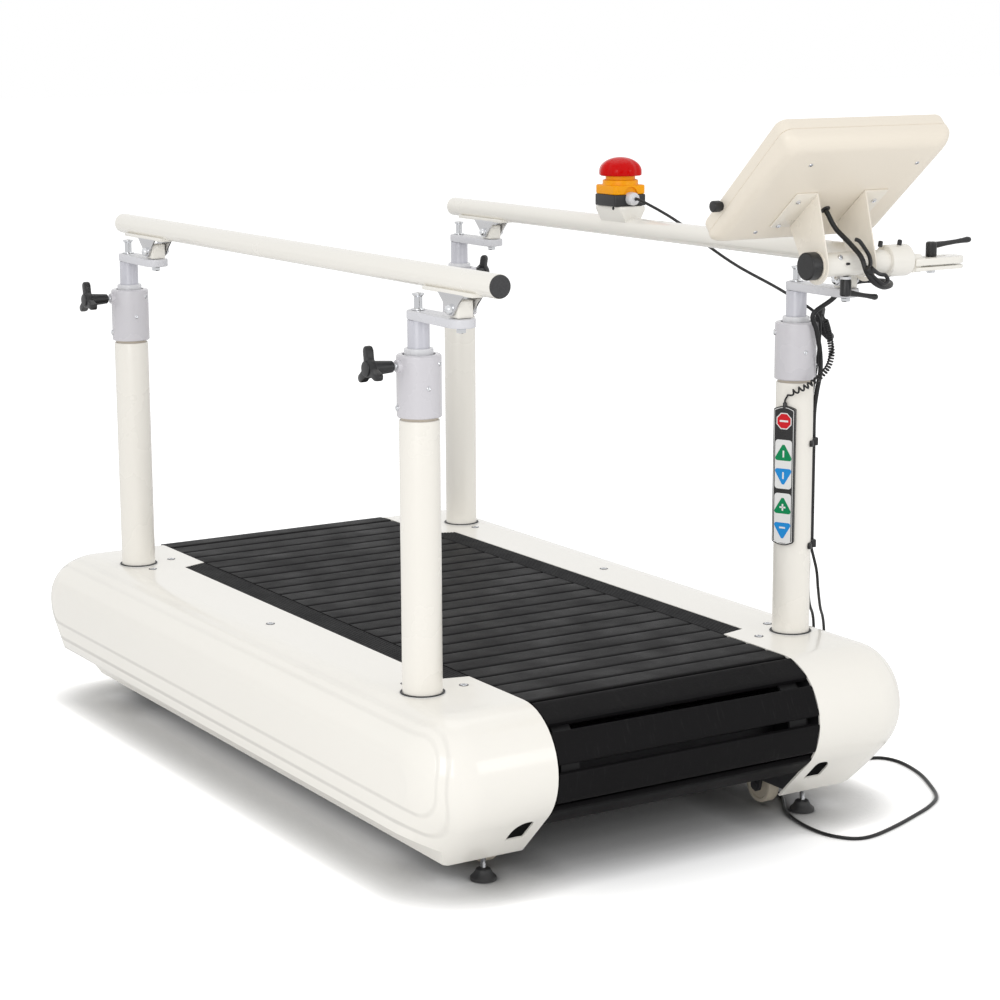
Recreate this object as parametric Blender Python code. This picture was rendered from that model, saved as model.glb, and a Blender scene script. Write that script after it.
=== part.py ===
"""Treadmill ergometer: slat belt, side hand rails on four posts, tilting display and emergency stop.

Metres, Z up. X runs across the belt. The -Y end carries the display, and the runner faces -Y.
"""
import math

import bmesh
import bpy
from mathutils import Matrix, Vector

GAP = 0.0003

# Deck, side covers and tread strips
DECK_TOP = 0.315
COVER_HALF_LENGTH = 0.850
COVER_END_RADIUS = 0.110
COVER_INNER_X = 0.2795
COVER_FLARE_X = 0.438
COVER_WALL_X = 0.515
PANEL_RAISE = 0.005
COVER_BOTTOM_Z = 0.045
COVER_WALL = 0.004
COVER_PLAN_FILLET = 0.100
COVER_REAR_FILLET = 0.035
COVER_TOP_FILLET = 0.080
COVER_SKIRT_X = 0.458
SKIRT_STEEP = 1.9
SKIRT_SHALLOW = 0.5
FIRST_STEP_X = 0.463
SECOND_STEP_X = 0.492
STEP_RISE = 0.003
PANEL_BORDER = 0.014
PANEL_SLOPE = 0.012
END_STEPS = 7
STRIP_INNER_X = 0.280
STRIP_OUTER_X = 0.333
STRIP_FRONT_Y = 0.290 - COVER_HALF_LENGTH
STRIP_REAR_Y = COVER_HALF_LENGTH - 0.310
STRIP_FRONT_SLANT = 0.013
STRIP_REAR_SLANT = 0.020
SLOT_WIDTH = 0.036
SLOT_HEIGHT = 0.040
SLOT_INSET_X = 0.0245

# Slat belt and drums
SLAT_COUNT = 60
DRUM_Y = COVER_HALF_LENGTH - COVER_END_RADIUS
DRUM_Z = 0.205
SLAT_GAP = 0.0021
SLAT_HALF_LENGTH = 0.277
TREAD_THICK = 0.010
SLAT_RECESS = 0.0005
WEB_THICK = 0.008
WEB_HALF_LENGTH = 0.255
WEB_DEPTH = 0.0107
FIRST_SLAT = 0.0177
CARRIER_X = 0.2435
CARRIER_WIDTH = 0.037
CARRIER_THICK = 0.006
CARRIER_STEPS = 12
DRUM_CORE_R = 0.045
DRUM_STEPS = 16
SHAFT_R = 0.0125
DRUM_PULLEY_R = 0.070
MOTOR_PULLEY_R = 0.030
PULLEY_X = 0.259
PULLEY_WIDTH = 0.022
DRIVE_BELT_THICK = 0.003
MOTOR_Y = 0.240 - DRUM_Y
MOTOR_R = 0.065
MOTOR_HALF = 0.160
MOTOR_SHAFT_R = 0.009

# Frame
FRAME_WEB_X = 0.290
FRAME_WALL = 0.005
FRAME_FLANGE_X = 0.334
FRAME_BOTTOM_Z = 0.055
CROSS_Y = 0.330
CROSS_SIZE = 0.060
LEDGE_INNER_X = 0.228
LEDGE_HALF_LENGTH = DRUM_Y - 0.120
LEDGE_THICK = 0.0155
HOUSING_R = 0.040
SOCKET_FLOOR_Z = 0.100
SOCKET_TOP_Z = 0.285
SOCKET_WALL = 0.007
FOOT_X = 0.348
FOOT_Y = COVER_HALF_LENGTH - 0.1325
FOOT_R = 0.023
FOOT_STEM_R = 0.005
BOSS_DROP = 0.002
WHEEL_Y = 0.200 - COVER_HALF_LENGTH
WHEEL_R = 0.035
WHEEL_WIDTH = 0.025
WHEEL_BOTTOM_Z = 0.0075
AXLE_R = 0.005

# Posts, collars and inner tubes
POST_X = 0.401
POST_Y = COVER_HALF_LENGTH - 0.243
POST_R = 0.035
POST_WALL = 0.003
POST_TOP_Z = 0.7915
COLLAR_R = 0.0385
COLLAR_BOTTOM_Z = 0.7965
COLLAR_TOP_Z = 0.903
FLANGE_R = 0.025
FLANGE_TOP_Z = 0.913
SPIGOT_LENGTH = 0.070
INNER_R = 0.019
INNER_BOTTOM_Z = 0.550
ROUND = 16

# Links, clevises, rails and knobs
LINK_Z = 0.961
LINK_THICK = 0.016
LINK_LENGTH = 0.140
LINK_INNER_R = 0.020
LINK_OUTER_R = 0.024
PIVOT_R = 0.006
BOLT_R = 0.005
RAIL_Z = 1.0385
RAIL_R = 0.020
RAIL_WALL = 0.0025
LEFT_RAIL_FRONT_Y = -POST_Y - 0.2594
RAIL_REAR_Y = POST_Y + 0.023
CLEVIS_SIZE = 0.030
CLEVIS_TOP_Z = 1.007
EAR_HALF = 0.0205
EAR_WALL = 0.004
PLUG_DEPTH = 0.020
KNOB_Z = 0.885
KNOB_REACH = 0.094
KNOB_ARM = 0.038
KNOB_THICK = 0.014
KNOB_STUD_R = 0.004
KNOB_TURN_RIGHT = 25.0
KNOB_PHASE = 99.0

# Crossbar, bracket and display
BAR_Y = -POST_Y - 0.217
BAR_Z = 1.030
BAR_R = 0.021
BAR_LEFT_X = 0.266
BAR_BODY_X = 0.4225
BAR_BODY_R = 0.0285
BAR_RIGHT_X = 0.472
BAR_CAP_R = 0.0245
BAR_CAP_LENGTH = 0.020
BUSH_R = 0.0245
BUSH_WIDTH = 0.010
BUSH_SHIFT = 0.003
EAR_LEFT_X = 0.2715
EAR_RIGHT_X = 0.378
SHEET = 0.003
EAR_R = 0.033
FLANGE_LEFT_X = 0.226
FLANGE_RIGHT_X = 0.429
DISPLAY_X = 0.311
DISPLAY_TILT = 42.0
DISPLAY_WIDTH = 0.365
DISPLAY_LENGTH = 0.290
SEAM_RISE = 0.0792
SEAM_STAND_OFF = 0.1238
SHELL_DEPTH_TOP = 0.035
SHELL_DEPTH_BOTTOM = 0.022
FRONT_DEPTH = 0.025
DISPLAY_CORNER = 0.018
SCREEN_BORDER = 0.030
DISPLAY_TILT_KNOB_R = 0.0100
TILT_LEVER_X = 0.337
LEVER_HUB_R = 0.010
ARM_TOP_Z = 1.032
ARM_BOTTOM_Z = 1.010
ARM_UPPER_THICK = 0.0125
ARM_LOWER_THICK = 0.0065
ARM_HALF_WIDTH = 0.025
ARM_END_X = 0.600
ARM_LEVER_X = 0.532
LEVER_REACH = 0.093

# Emergency stop
STOP_Y = -0.033
SADDLE_HALF_X = 0.0305
SADDLE_HALF_Y = 0.045
SADDLE_TOP_Z = 1.081
STOP_SIZE = 0.076
STOP_BASE_HEIGHT = 0.0227
LID_HEIGHT = 0.0187
LID_RING_R = 0.036
LID_RING_HEIGHT = 0.010
BUTTON_STEM_R = 0.030
BUTTON_R = 0.0435
BUTTON_TRAVEL = 0.006
BUTTON_HEIGHT = 0.037
GLAND_R = 0.0135
GLAND_LENGTH = 0.017

# Keypad on the front right post
KEYPAD_TURN = 206.0
KEYPAD_WIDTH = 0.044
KEYPAD_BOTTOM_Z = 0.488
KEYPAD_TOP_Z = 0.750
KEYPAD_FACE_R = 0.043
CLIP_Z = (0.678, 0.484)

# Cables
DISPLAY_CABLE_R = 0.0045
STOP_CABLE_R = 0.0034
FLOOR_CORD_R = 0.0035
CURL_TUBE_R = 0.0015
CURL_R = 0.0047
CURL_COUNT = 16
CURL_POINTS = 8


# Shapes
def prism(axis, outline, start, end):
    """Extrude a flat outline along X, Y or Z. Outlines hold the other two coordinates in order."""
    shape = bmesh.new()
    rows = []
    for level in (start, end):
        row = []
        for a, b in outline:
            place = {"X": (level, a, b), "Y": (a, level, b), "Z": (a, b, level)}[axis]
            row.append(shape.verts.new(place))
        rows.append(row)
    count = len(outline)
    shape.faces.new(rows[0])
    shape.faces.new(rows[1])
    for i in range(count):
        j = (i + 1) % count
        shape.faces.new((rows[0][i], rows[0][j], rows[1][j], rows[1][i]))
    bmesh.ops.recalc_face_normals(shape, faces=shape.faces)
    return shape


def block(x0, x1, y0, y1, z0, z1):
    """Make a plain box between two corners."""
    return prism("Z", [(x0, y0), (x1, y0), (x1, y1), (x0, y1)], z0, z1)


def ring_prism(outer, inner, start, end):
    """Extrude the band between two outlines of equal count along X."""
    shape = bmesh.new()
    rows = []
    for outline in (outer, inner):
        for level in (start, end):
            rows.append([shape.verts.new((level, a, b)) for a, b in outline])
    count = len(outer)
    for i in range(count):
        j = (i + 1) % count
        for first, second in ((0, 1), (1, 3), (3, 2), (2, 0)):
            shape.faces.new((rows[first][i], rows[first][j], rows[second][j], rows[second][i]))
    bmesh.ops.recalc_face_normals(shape, faces=shape.faces)
    return shape


def turned(profile, axis="Z", centre=(0.0, 0.0, 0.0), steps=ROUND):
    """Revolve (radius, height) points about an axis. Radius 0 at both ends closes on the axis."""
    shape = bmesh.new()
    frame = {
        "X": (Vector((0, 1, 0)), Vector((0, 0, 1)), Vector((1, 0, 0))),
        "Y": (Vector((1, 0, 0)), Vector((0, 0, 1)), Vector((0, 1, 0))),
        "Z": (Vector((1, 0, 0)), Vector((0, 1, 0)), Vector((0, 0, 1))),
    }[axis]
    middle = Vector(centre)
    rows = []
    for radius, height in profile:
        base = middle + frame[2] * height
        if radius <= 0.0:
            rows.append([shape.verts.new(base)])
            continue
        row = []
        for i in range(steps):
            angle = 2.0 * math.pi * (i + 0.25) / steps
            spoke = frame[0] * math.cos(angle) + frame[1] * math.sin(angle)
            row.append(shape.verts.new(base + spoke * radius))
        rows.append(row)
    solid_core = len(rows[0]) == 1
    pairs = list(zip(rows, rows[1:]))
    if not solid_core:
        pairs.append((rows[-1], rows[0]))
    for low, high in pairs:
        for i in range(steps):
            j = (i + 1) % steps
            if len(low) == 1:
                shape.faces.new((low[0], high[i], high[j]))
            elif len(high) == 1:
                shape.faces.new((low[i], low[j], high[0]))
            else:
                shape.faces.new((low[i], low[j], high[j], high[i]))
    bmesh.ops.recalc_face_normals(shape, faces=shape.faces)
    return shape


def bore(radius, steps=ROUND):
    """Give the corner radius of a faceted hole that clears a bar of this radius all round."""
    return (radius + GAP) / math.cos(math.pi / steps)


def rod(radius, start, end, axis="Z", centre=(0.0, 0.0, 0.0), steps=10):
    """Make a plain round bar between two heights on an axis."""
    return turned([(0, start), (radius, start), (radius, end), (0, end)], axis, centre, steps)


def loft(rings):
    """Skin a row of rings with equal counts and cap both ends."""
    shape = bmesh.new()
    rows = [[shape.verts.new(point) for point in ring] for ring in rings]
    count = len(rings[0])
    for low, high in zip(rows, rows[1:]):
        for i in range(count):
            j = (i + 1) % count
            shape.faces.new((low[i], low[j], high[j], high[i]))
    shape.faces.new(rows[0])
    shape.faces.new(rows[-1])
    bmesh.ops.recalc_face_normals(shape, faces=shape.faces)
    return shape


def gather(shapes):
    """Put several separate shapes into one mesh."""
    whole = bmesh.new()
    for shape in shapes:
        mesh = bpy.data.meshes.new("gather")
        shape.to_mesh(mesh)
        shape.free()
        whole.from_mesh(mesh)
        bpy.data.meshes.remove(mesh)
    return whole


def temporary(shape):
    """Give a shape a short-lived object for a Boolean step."""
    mesh = bpy.data.meshes.new("temporary")
    shape.to_mesh(mesh)
    shape.free()
    item = bpy.data.objects.new("temporary", mesh)
    bpy.context.scene.collection.objects.link(item)
    return item


def combine(base, others, operation):
    """Join shapes to a base, or cut them from it, with exact Booleans."""
    items = [temporary(base)]
    for other in others:
        tool = temporary(other)
        items.append(tool)
        step = items[0].modifiers.new("step", "BOOLEAN")
        step.solver = "EXACT"
        step.operation = operation
        step.object = tool
    graph = bpy.context.evaluated_depsgraph_get()
    mesh = bpy.data.meshes.new_from_object(items[0].evaluated_get(graph))
    result = bmesh.new()
    result.from_mesh(mesh)
    bpy.data.meshes.remove(mesh)
    for item in items:
        old = item.data
        bpy.data.objects.remove(item)
        bpy.data.meshes.remove(old)
    return result


def join(base, *others):
    return combine(base, others, "UNION")


def cut(base, *others):
    return combine(base, others, "DIFFERENCE")


def turn(shape, matrix):
    """Move or turn a whole shape."""
    bmesh.ops.transform(shape, matrix=matrix, verts=shape.verts)
    return shape


def around(angle, axis, centre):
    """Build the matrix of a turn in degrees about an axis through a point."""
    middle = Matrix.Translation(centre)
    return middle @ Matrix.Rotation(math.radians(angle), 4, axis) @ middle.inverted()


def mirrored(shape):
    """Reflect a shape from the right side to the left."""
    bmesh.ops.scale(shape, vec=(-1, 1, 1), verts=shape.verts)
    bmesh.ops.reverse_faces(shape, faces=shape.faces)
    return shape


def arc(centre, radius, start, end, steps):
    """List points on an arc given in degrees, both ends included."""
    points = []
    for i in range(steps + 1):
        angle = math.radians(start + (end - start) * i / steps)
        points.append((centre[0] + radius * math.cos(angle), centre[1] + radius * math.sin(angle)))
    return points


def capsule(length, near_radius, far_radius, steps=6):
    """Outline a bar with two round ends of unlike radius, from the origin along the first axis."""
    lean = math.degrees(math.acos((near_radius - far_radius) / length))
    far = arc((length, 0.0), far_radius, -lean, lean, steps)
    near = arc((0.0, 0.0), near_radius, lean, 360.0 - lean, steps)
    return far + near


def rounded_rectangle(width, height, radius, steps=3):
    """Outline a rectangle with round corners about the origin."""
    x = width / 2 - radius
    y = height / 2 - radius
    points = []
    for corner, start in (((x, y), 0), ((-x, y), 90), ((-x, -y), 180), ((x, -y), 270)):
        points += arc(corner, radius, start, start + 90, steps)
    return points


def paint(name, colour, roughness, metallic=0.0):
    """Make a plain surface material."""
    material = bpy.data.materials.new(name)
    material.use_nodes = True
    surface = material.node_tree.nodes["Principled BSDF"]
    surface.inputs["Base Color"].default_value = (*colour, 1.0)
    surface.inputs["Roughness"].default_value = roughness
    surface.inputs["Metallic"].default_value = metallic
    material.diffuse_color = (*colour, 1.0)
    return material


def part(name, shape, material, parent, origin=(0.0, 0.0, 0.0), tilt=None):
    """Make a named piece with its origin on its axis and hang it on its parent."""
    turn(shape, Matrix.Translation(Vector(origin)).inverted() if tilt is None else Matrix())
    mesh = bpy.data.meshes.new(name)
    shape.to_mesh(mesh)
    shape.free()
    mesh.shade_smooth()
    mesh.set_sharp_from_angle(angle=math.radians(35))
    mesh.materials.append(material)
    item = bpy.data.objects.new(name, mesh)
    bpy.context.scene.collection.objects.link(item)
    hang(item, parent, origin)
    if tilt is not None:
        item.rotation_euler = tilt
    return item


def hang(item, parent, origin):
    """Place an item at a world point under its parent."""
    item.parent = parent
    base = Vector(parent["place"]) if parent else Vector((0, 0, 0))
    item.location = Vector(origin) - base
    item["place"] = tuple(origin)


def pivot(name, parent, origin):
    """Make an empty on a joint's axis."""
    item = bpy.data.objects.new(name, None)
    item.empty_display_size = 0.03
    bpy.context.scene.collection.objects.link(item)
    hang(item, parent, origin)
    return item


# Side profile shared by covers and frame
def side_half(inset, bottom, half_length, top=DECK_TOP, radius=COVER_END_RADIUS):
    """Outline one end of a side in Y and Z, from its foot up a 45 degree chamfer and round to the top."""
    end = arc((half_length - radius, top - radius), radius - inset, -45.0, 90.0, END_STEPS)
    foot_y = end[0][0] - (end[0][1] - bottom)
    return [(foot_y, bottom)] + end


def side_profile(inset, bottom):
    """Outline a whole side in Y and Z: flat top, round ends and chamfers down to the bottom."""
    half = side_half(inset, bottom, COVER_HALF_LENGTH)
    return half + [(-a, b) for a, b in reversed(half)]


def fillet_drop(x, radius):
    """Give how far a round edge of the cover has fallen back at one X."""
    run = max(0.0, x - (COVER_WALL_X + PANEL_RAISE - radius))
    return radius - math.sqrt(radius ** 2 - run ** 2)


def cover_ring(x, inset=0.0):
    """Give the side profile of the cover at one X, drawn in by its end and top fillets."""
    skirt = max(0.0, min(x, COVER_SKIRT_X) - COVER_FLARE_X) * SKIRT_STEEP
    bottom = COVER_BOTTOM_Z + skirt + max(0.0, x - COVER_SKIRT_X) * SKIRT_SHALLOW + inset
    top = DECK_TOP - fillet_drop(x, COVER_TOP_FILLET) - inset
    radius = COVER_END_RADIUS - fillet_drop(x, COVER_TOP_FILLET) - inset
    halves = []
    for fillet in (COVER_REAR_FILLET, COVER_PLAN_FILLET):
        halves.append(side_half(0.0, bottom, COVER_HALF_LENGTH - fillet_drop(x, fillet) - inset, top, radius))
    rear, front = halves
    return rear + [(-a, b) for a, b in reversed(front)]


def side_cover():
    """Shell a cover for the right side: open underneath and towards the belt."""
    wall = COVER_WALL_X
    straight = wall + PANEL_RAISE - COVER_PLAN_FILLET
    rings = [(x, cover_ring(x)) for x in (COVER_INNER_X, straight, COVER_FLARE_X, COVER_SKIRT_X, FIRST_STEP_X)]
    for x in (FIRST_STEP_X + STEP_RISE / 2, SECOND_STEP_X):
        rings.append((x, cover_ring(x, -STEP_RISE)))
    for x in (SECOND_STEP_X + STEP_RISE / 2, wall - 0.010, wall):
        rings.append((x, cover_ring(x, -1.5 * STEP_RISE)))
    rings.append((wall + PANEL_RAISE * 0.6, cover_ring(wall, PANEL_BORDER)))
    rings.append((wall + PANEL_RAISE, cover_ring(wall, PANEL_BORDER + PANEL_SLOPE)))
    skin = bmesh.new()
    rows = [[skin.verts.new((x, y, z)) for y, z in ring] for x, ring in rings]
    count = len(rows[0])
    for index, (low, high) in enumerate(zip(rows, rows[1:])):
        closed = rings[index][0] >= COVER_FLARE_X
        for i in range(count if closed else count - 1):
            j = (i + 1) % count
            skin.faces.new((low[i], high[i], high[j], low[j]))
    panel = skin.faces.new(rows[-1])
    bmesh.ops.recalc_face_normals(skin, faces=skin.faces)
    skin.normal_update()
    if panel.normal.x < 0:
        bmesh.ops.reverse_faces(skin, faces=skin.faces)
    item = temporary(skin)
    shell = item.modifiers.new("wall", "SOLIDIFY")
    shell.thickness = COVER_WALL
    shell.offset = -1.0
    shell.use_even_offset = True
    graph = bpy.context.evaluated_depsgraph_get()
    mesh = bpy.data.meshes.new_from_object(item.evaluated_get(graph))
    solid = bmesh.new()
    solid.from_mesh(mesh)
    old = item.data
    bpy.data.objects.remove(item)
    bpy.data.meshes.remove(old)
    bpy.data.meshes.remove(mesh)

    holes = []
    for y in (-POST_Y, POST_Y):
        holes.append(rod(bore(POST_R), DECK_TOP - 0.02, DECK_TOP + 0.02, "Z", (POST_X, y, 0), ROUND))
    holes.append(prism("Z", strip_outline(0.0005, -0.01), DECK_TOP - 0.02, DECK_TOP + 0.02))
    holes.append(slot_cutter())
    return cut(solid, gather(holes))


def strip_outline(room, inner_room):
    """Outline a tread strip in plan, with room left round it."""
    inner = inner_room / (STRIP_OUTER_X - STRIP_INNER_X)
    outer = 1 + room / (STRIP_OUTER_X - STRIP_INNER_X)
    corners = []
    for share in (inner, outer):
        x = STRIP_INNER_X + (STRIP_OUTER_X - STRIP_INNER_X) * share
        front = STRIP_FRONT_Y + STRIP_FRONT_SLANT * share - room
        rear = STRIP_REAR_Y - STRIP_REAR_SLANT * share + room
        corners.append(((x, front), (x, rear)))
    (inner_front, inner_rear), (outer_front, outer_rear) = corners
    return [inner_front, outer_front, outer_rear, inner_rear]


def slot_cutter():
    """Make the leaf-shaped slot through the front chamfer of a cover."""
    drop = COVER_END_RADIUS * math.sqrt(0.5)
    corner_y = -(COVER_HALF_LENGTH - COVER_END_RADIUS + drop)
    corner_z = DECK_TOP - COVER_END_RADIUS - drop
    x = COVER_INNER_X + SLOT_INSET_X
    high = 0.003
    low = high + SLOT_HEIGHT
    lead = 0.006
    leaf = [
        (x, low), (x, high + lead), (x + lead, high), (x + SLOT_WIDTH - 2 * lead, high),
        (x + SLOT_WIDTH - lead, high + 2 * lead), (x + SLOT_WIDTH, low - lead), (x + SLOT_WIDTH, low),
    ]
    rings = []
    for depth in (-0.012, 0.012):
        shift = depth * math.sqrt(0.5)
        rings.append([(a, corner_y + b - shift, corner_z - b - shift) for a, b in leaf])
    return loft(rings)


# Slat belt
def pitch_radius():
    """Put the pitch line so that the treads come level with the deck."""
    return DECK_TOP - SLAT_RECESS - TREAD_THICK - WEB_DEPTH - DRUM_Z


def belt_point(distance):
    """Give the point and outward direction on the pitch line, from the top of the front drum."""
    radius = pitch_radius()
    straight = 2 * DRUM_Y
    bend = math.pi * radius
    distance %= 2 * (straight + bend)
    if distance < straight:
        return (-DRUM_Y + distance, DRUM_Z + radius), math.pi / 2
    distance -= straight
    if distance < bend:
        angle = math.pi / 2 - distance / radius
        return (DRUM_Y + radius * math.cos(angle), DRUM_Z + radius * math.sin(angle)), angle
    distance -= bend
    if distance < straight:
        return (DRUM_Y - distance, DRUM_Z - radius), -math.pi / 2
    distance -= straight
    angle = -math.pi / 2 - distance / radius
    return (-DRUM_Y + radius * math.cos(angle), DRUM_Z + radius * math.sin(angle)), angle


def slat_section(place, angle, half, low, high):
    """Place a rectangle of the slat section on the pitch line."""
    out = Vector((math.cos(angle), math.sin(angle)))
    along = Vector((math.sin(angle), -math.cos(angle)))
    middle = Vector(place)
    corners = ((-half, low), (half, low), (half, high), (-half, high))
    return [tuple(middle + along * a + out * b) for a, b in corners]


def loop_outline(near_centre, near_radius, far_centre, far_radius, steps=CARRIER_STEPS):
    """Outline a belt round two wheels, in Y and Z."""
    span = far_centre[0] - near_centre[0]
    lean = math.degrees(math.asin((far_radius - near_radius) / span))
    far = arc(far_centre, far_radius, 90 + lean, -90 - lean, steps)
    near = arc(near_centre, near_radius, -90 - lean, -270 + lean, steps)
    return far + near


def slat_belt():
    """Fuse sixty T slats to their two carrier belts."""
    length = 4 * DRUM_Y + 2 * math.pi * pitch_radius()
    pitch = length / SLAT_COUNT
    half = (pitch - SLAT_GAP) / 2
    treads = []
    webs = []
    for index in range(SLAT_COUNT):
        place, angle = belt_point(FIRST_SLAT + index * pitch)
        tread = slat_section(place, angle, half, WEB_DEPTH, WEB_DEPTH + TREAD_THICK)
        treads.append(prism("X", tread, -SLAT_HALF_LENGTH, SLAT_HALF_LENGTH))
        web = slat_section(place, angle, WEB_THICK / 2, 0.0, WEB_DEPTH + TREAD_THICK / 4)
        webs.append(prism("X", web, -WEB_HALF_LENGTH, WEB_HALF_LENGTH))
    carriers = []
    for side in (-1, 1):
        outlines = []
        for shift in (CARRIER_THICK / 2, -CARRIER_THICK / 2):
            radius = pitch_radius() + shift
            outlines.append(loop_outline((-DRUM_Y, DRUM_Z), radius, (DRUM_Y, DRUM_Z), radius))
        middle = side * CARRIER_X
        carriers.append(ring_prism(*outlines, middle - CARRIER_WIDTH / 2, middle + CARRIER_WIDTH / 2))
    return join(gather(treads), gather(webs), gather(carriers))


def drum_wheel_radius():
    """Let the drum's wheels run just inside the carriers' chords."""
    inner = pitch_radius() - CARRIER_THICK / 2
    return inner * math.cos(math.pi / 2 / CARRIER_STEPS) - GAP


def drum(y, with_pulley):
    """Turn a drum: shaft, core tube and two end wheels, and the belt pulley on the driven one."""
    wheel = drum_wheel_radius()
    outer = PULLEY_X - GAP
    inner = CARRIER_X - CARRIER_WIDTH / 2
    end = FRAME_WEB_X + FRAME_WALL + 0.015
    profile = [(0, -end), (SHAFT_R, -end), (SHAFT_R, -outer), (wheel, -outer), (wheel, -inner)]
    profile += [(DRUM_CORE_R, -inner), (DRUM_CORE_R, inner), (wheel, inner), (wheel, outer)]
    if with_pulley:
        profile += [(DRUM_PULLEY_R, outer), (DRUM_PULLEY_R, PULLEY_X + PULLEY_WIDTH)]
        profile += [(SHAFT_R, PULLEY_X + PULLEY_WIDTH), (SHAFT_R, end), (0, end)]
    else:
        profile += [(SHAFT_R, outer), (SHAFT_R, end), (0, end)]
    return turned(profile, "X", (0, y, DRUM_Z), DRUM_STEPS)


# Frame
def side_frame():
    """Fold the pan plate of the right side and weld its sockets, ledge, housings and bosses."""
    seat = COVER_WALL + GAP
    outline = side_profile(seat, FRAME_BOTTOM_Z)
    hollow = side_profile(seat + FRAME_WALL, FRAME_BOTTOM_Z + FRAME_WALL)
    pan = prism("X", outline, FRAME_WEB_X, FRAME_FLANGE_X)
    pan = cut(pan, prism("X", hollow, FRAME_WEB_X + FRAME_WALL, FRAME_FLANGE_X + 0.01))
    seats = []
    for y in (-DRUM_Y, DRUM_Y):
        seats.append(rod(HOUSING_R - 0.006, FRAME_WEB_X - 0.01, FRAME_WEB_X + 0.01, "X", (0, y, DRUM_Z), 12))
    pan = cut(pan, gather(seats))
    web_in = FRAME_WEB_X + FRAME_WALL / 2
    shell = POST_R + SOCKET_WALL
    adds = []
    for y in (-POST_Y, POST_Y):
        low = SOCKET_FLOOR_Z + 0.020
        adds.append(block(web_in, POST_X - shell + 0.012, y - 0.022, y + 0.022, low, SOCKET_TOP_Z - 0.030))
        adds.append(rod(shell, SOCKET_FLOOR_Z - 0.010, SOCKET_TOP_Z, "Z", (POST_X, y, 0), ROUND))
    ledge_top = DRUM_Z + pitch_radius() - CARRIER_THICK / 2 - GAP
    adds.append(block(
        LEDGE_INNER_X, web_in, -LEDGE_HALF_LENGTH, LEDGE_HALF_LENGTH, ledge_top - LEDGE_THICK, ledge_top))
    for y in (-DRUM_Y, DRUM_Y):
        hole = bore(SHAFT_R, 12)
        near = FRAME_WEB_X - 0.0035
        far = FRAME_WEB_X + 0.022
        ring = [(hole, near), (HOUSING_R, near), (HOUSING_R, far), (hole, far)]
        adds.append(turned(ring, "X", (0, y, DRUM_Z), 12))
    for y in (-FOOT_Y, FOOT_Y):
        adds.append(rod(0.015, FRAME_BOTTOM_Z - BOSS_DROP, FRAME_BOTTOM_Z + 0.028, "Z", (FOOT_X, y, 0), 10))
    axle_z = WHEEL_BOTTOM_Z + WHEEL_R
    ear = arc((WHEEL_Y, axle_z), 0.013, 180, 360, 4)
    ear += [(WHEEL_Y + 0.020, FRAME_BOTTOM_Z + 0.03), (WHEEL_Y - 0.020, FRAME_BOTTOM_Z + 0.03)]
    adds.append(prism("X", ear, FRAME_WEB_X - 0.0015, FRAME_WEB_X + FRAME_WALL - 0.001))
    body = join(pan, *adds)
    wheel_x = FRAME_WEB_X + FRAME_WALL + GAP
    cuts = []
    for y in (-POST_Y, POST_Y):
        cuts.append(rod(bore(POST_R), SOCKET_FLOOR_Z, SOCKET_TOP_Z + 0.01, "Z", (POST_X, y, 0), ROUND))
    for y in (-FOOT_Y, FOOT_Y):
        hole = bore(FOOT_STEM_R, 10)
        cuts.append(rod(hole, FRAME_BOTTOM_Z - 0.01, FRAME_BOTTOM_Z + 0.04, "Z", (FOOT_X, y, 0)))
    cuts.append(block(
        wheel_x - 0.0008, wheel_x + WHEEL_WIDTH + 0.003, WHEEL_Y - WHEEL_R - 0.006, WHEEL_Y + WHEEL_R + 0.006,
        FRAME_BOTTOM_Z - 0.01, FRAME_BOTTOM_Z + FRAME_WALL + 0.001))
    body = cut(body, gather(cuts))
    head = wheel_x + WHEEL_WIDTH + GAP
    axle = turned([
        (0, FRAME_WEB_X - 0.006), (0.0085, FRAME_WEB_X - 0.006), (0.0085, FRAME_WEB_X + 0.0005),
        (AXLE_R, FRAME_WEB_X + 0.0005), (AXLE_R, head), (0.009, head), (0.009, head + 0.004), (0, head + 0.004),
    ], "X", (0, WHEEL_Y, axle_z), 8)
    return join(body, axle)


def transport_wheel():
    """Turn the wheel for the right side."""
    near = FRAME_WEB_X + FRAME_WALL + GAP
    far = near + WHEEL_WIDTH
    axle_z = WHEEL_BOTTOM_Z + WHEEL_R
    hole = bore(AXLE_R, 16)
    return turned([
        (hole, near), (WHEEL_R - 0.002, near), (WHEEL_R, near + 0.002),
        (WHEEL_R, far - 0.002), (WHEEL_R - 0.002, far), (hole, far),
    ], "X", (0, WHEEL_Y, axle_z), 16)


def crossmember(y):
    half = CROSS_SIZE / 2
    bevel = 0.005
    outline = [
        (y - half, DRUM_Z - half + bevel), (y - half + bevel, DRUM_Z - half), (y + half - bevel, DRUM_Z - half),
        (y + half, DRUM_Z - half + bevel), (y + half, DRUM_Z + half - bevel), (y + half - bevel, DRUM_Z + half),
        (y - half + bevel, DRUM_Z + half), (y - half, DRUM_Z + half - bevel),
    ]
    end = FRAME_WEB_X - GAP
    return prism("X", outline, -end, end)


def foot():
    """Turn a levelling foot about its own axis: rubber cone, lock nut and stem."""
    top = FRAME_BOTTOM_Z + 0.024
    seat = FRAME_BOTTOM_Z - BOSS_DROP - GAP
    nut = seat - 0.010
    return turned([
        (0, 0), (FOOT_R, 0), (FOOT_R, 0.007), (0.013, 0.021), (FOOT_STEM_R, 0.022), (FOOT_STEM_R, nut),
        (0.0095, nut), (0.0095, seat), (FOOT_STEM_R, seat),
        (FOOT_STEM_R, top), (0, top),
    ], "Z", (0, 0, 0), 10)


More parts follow.
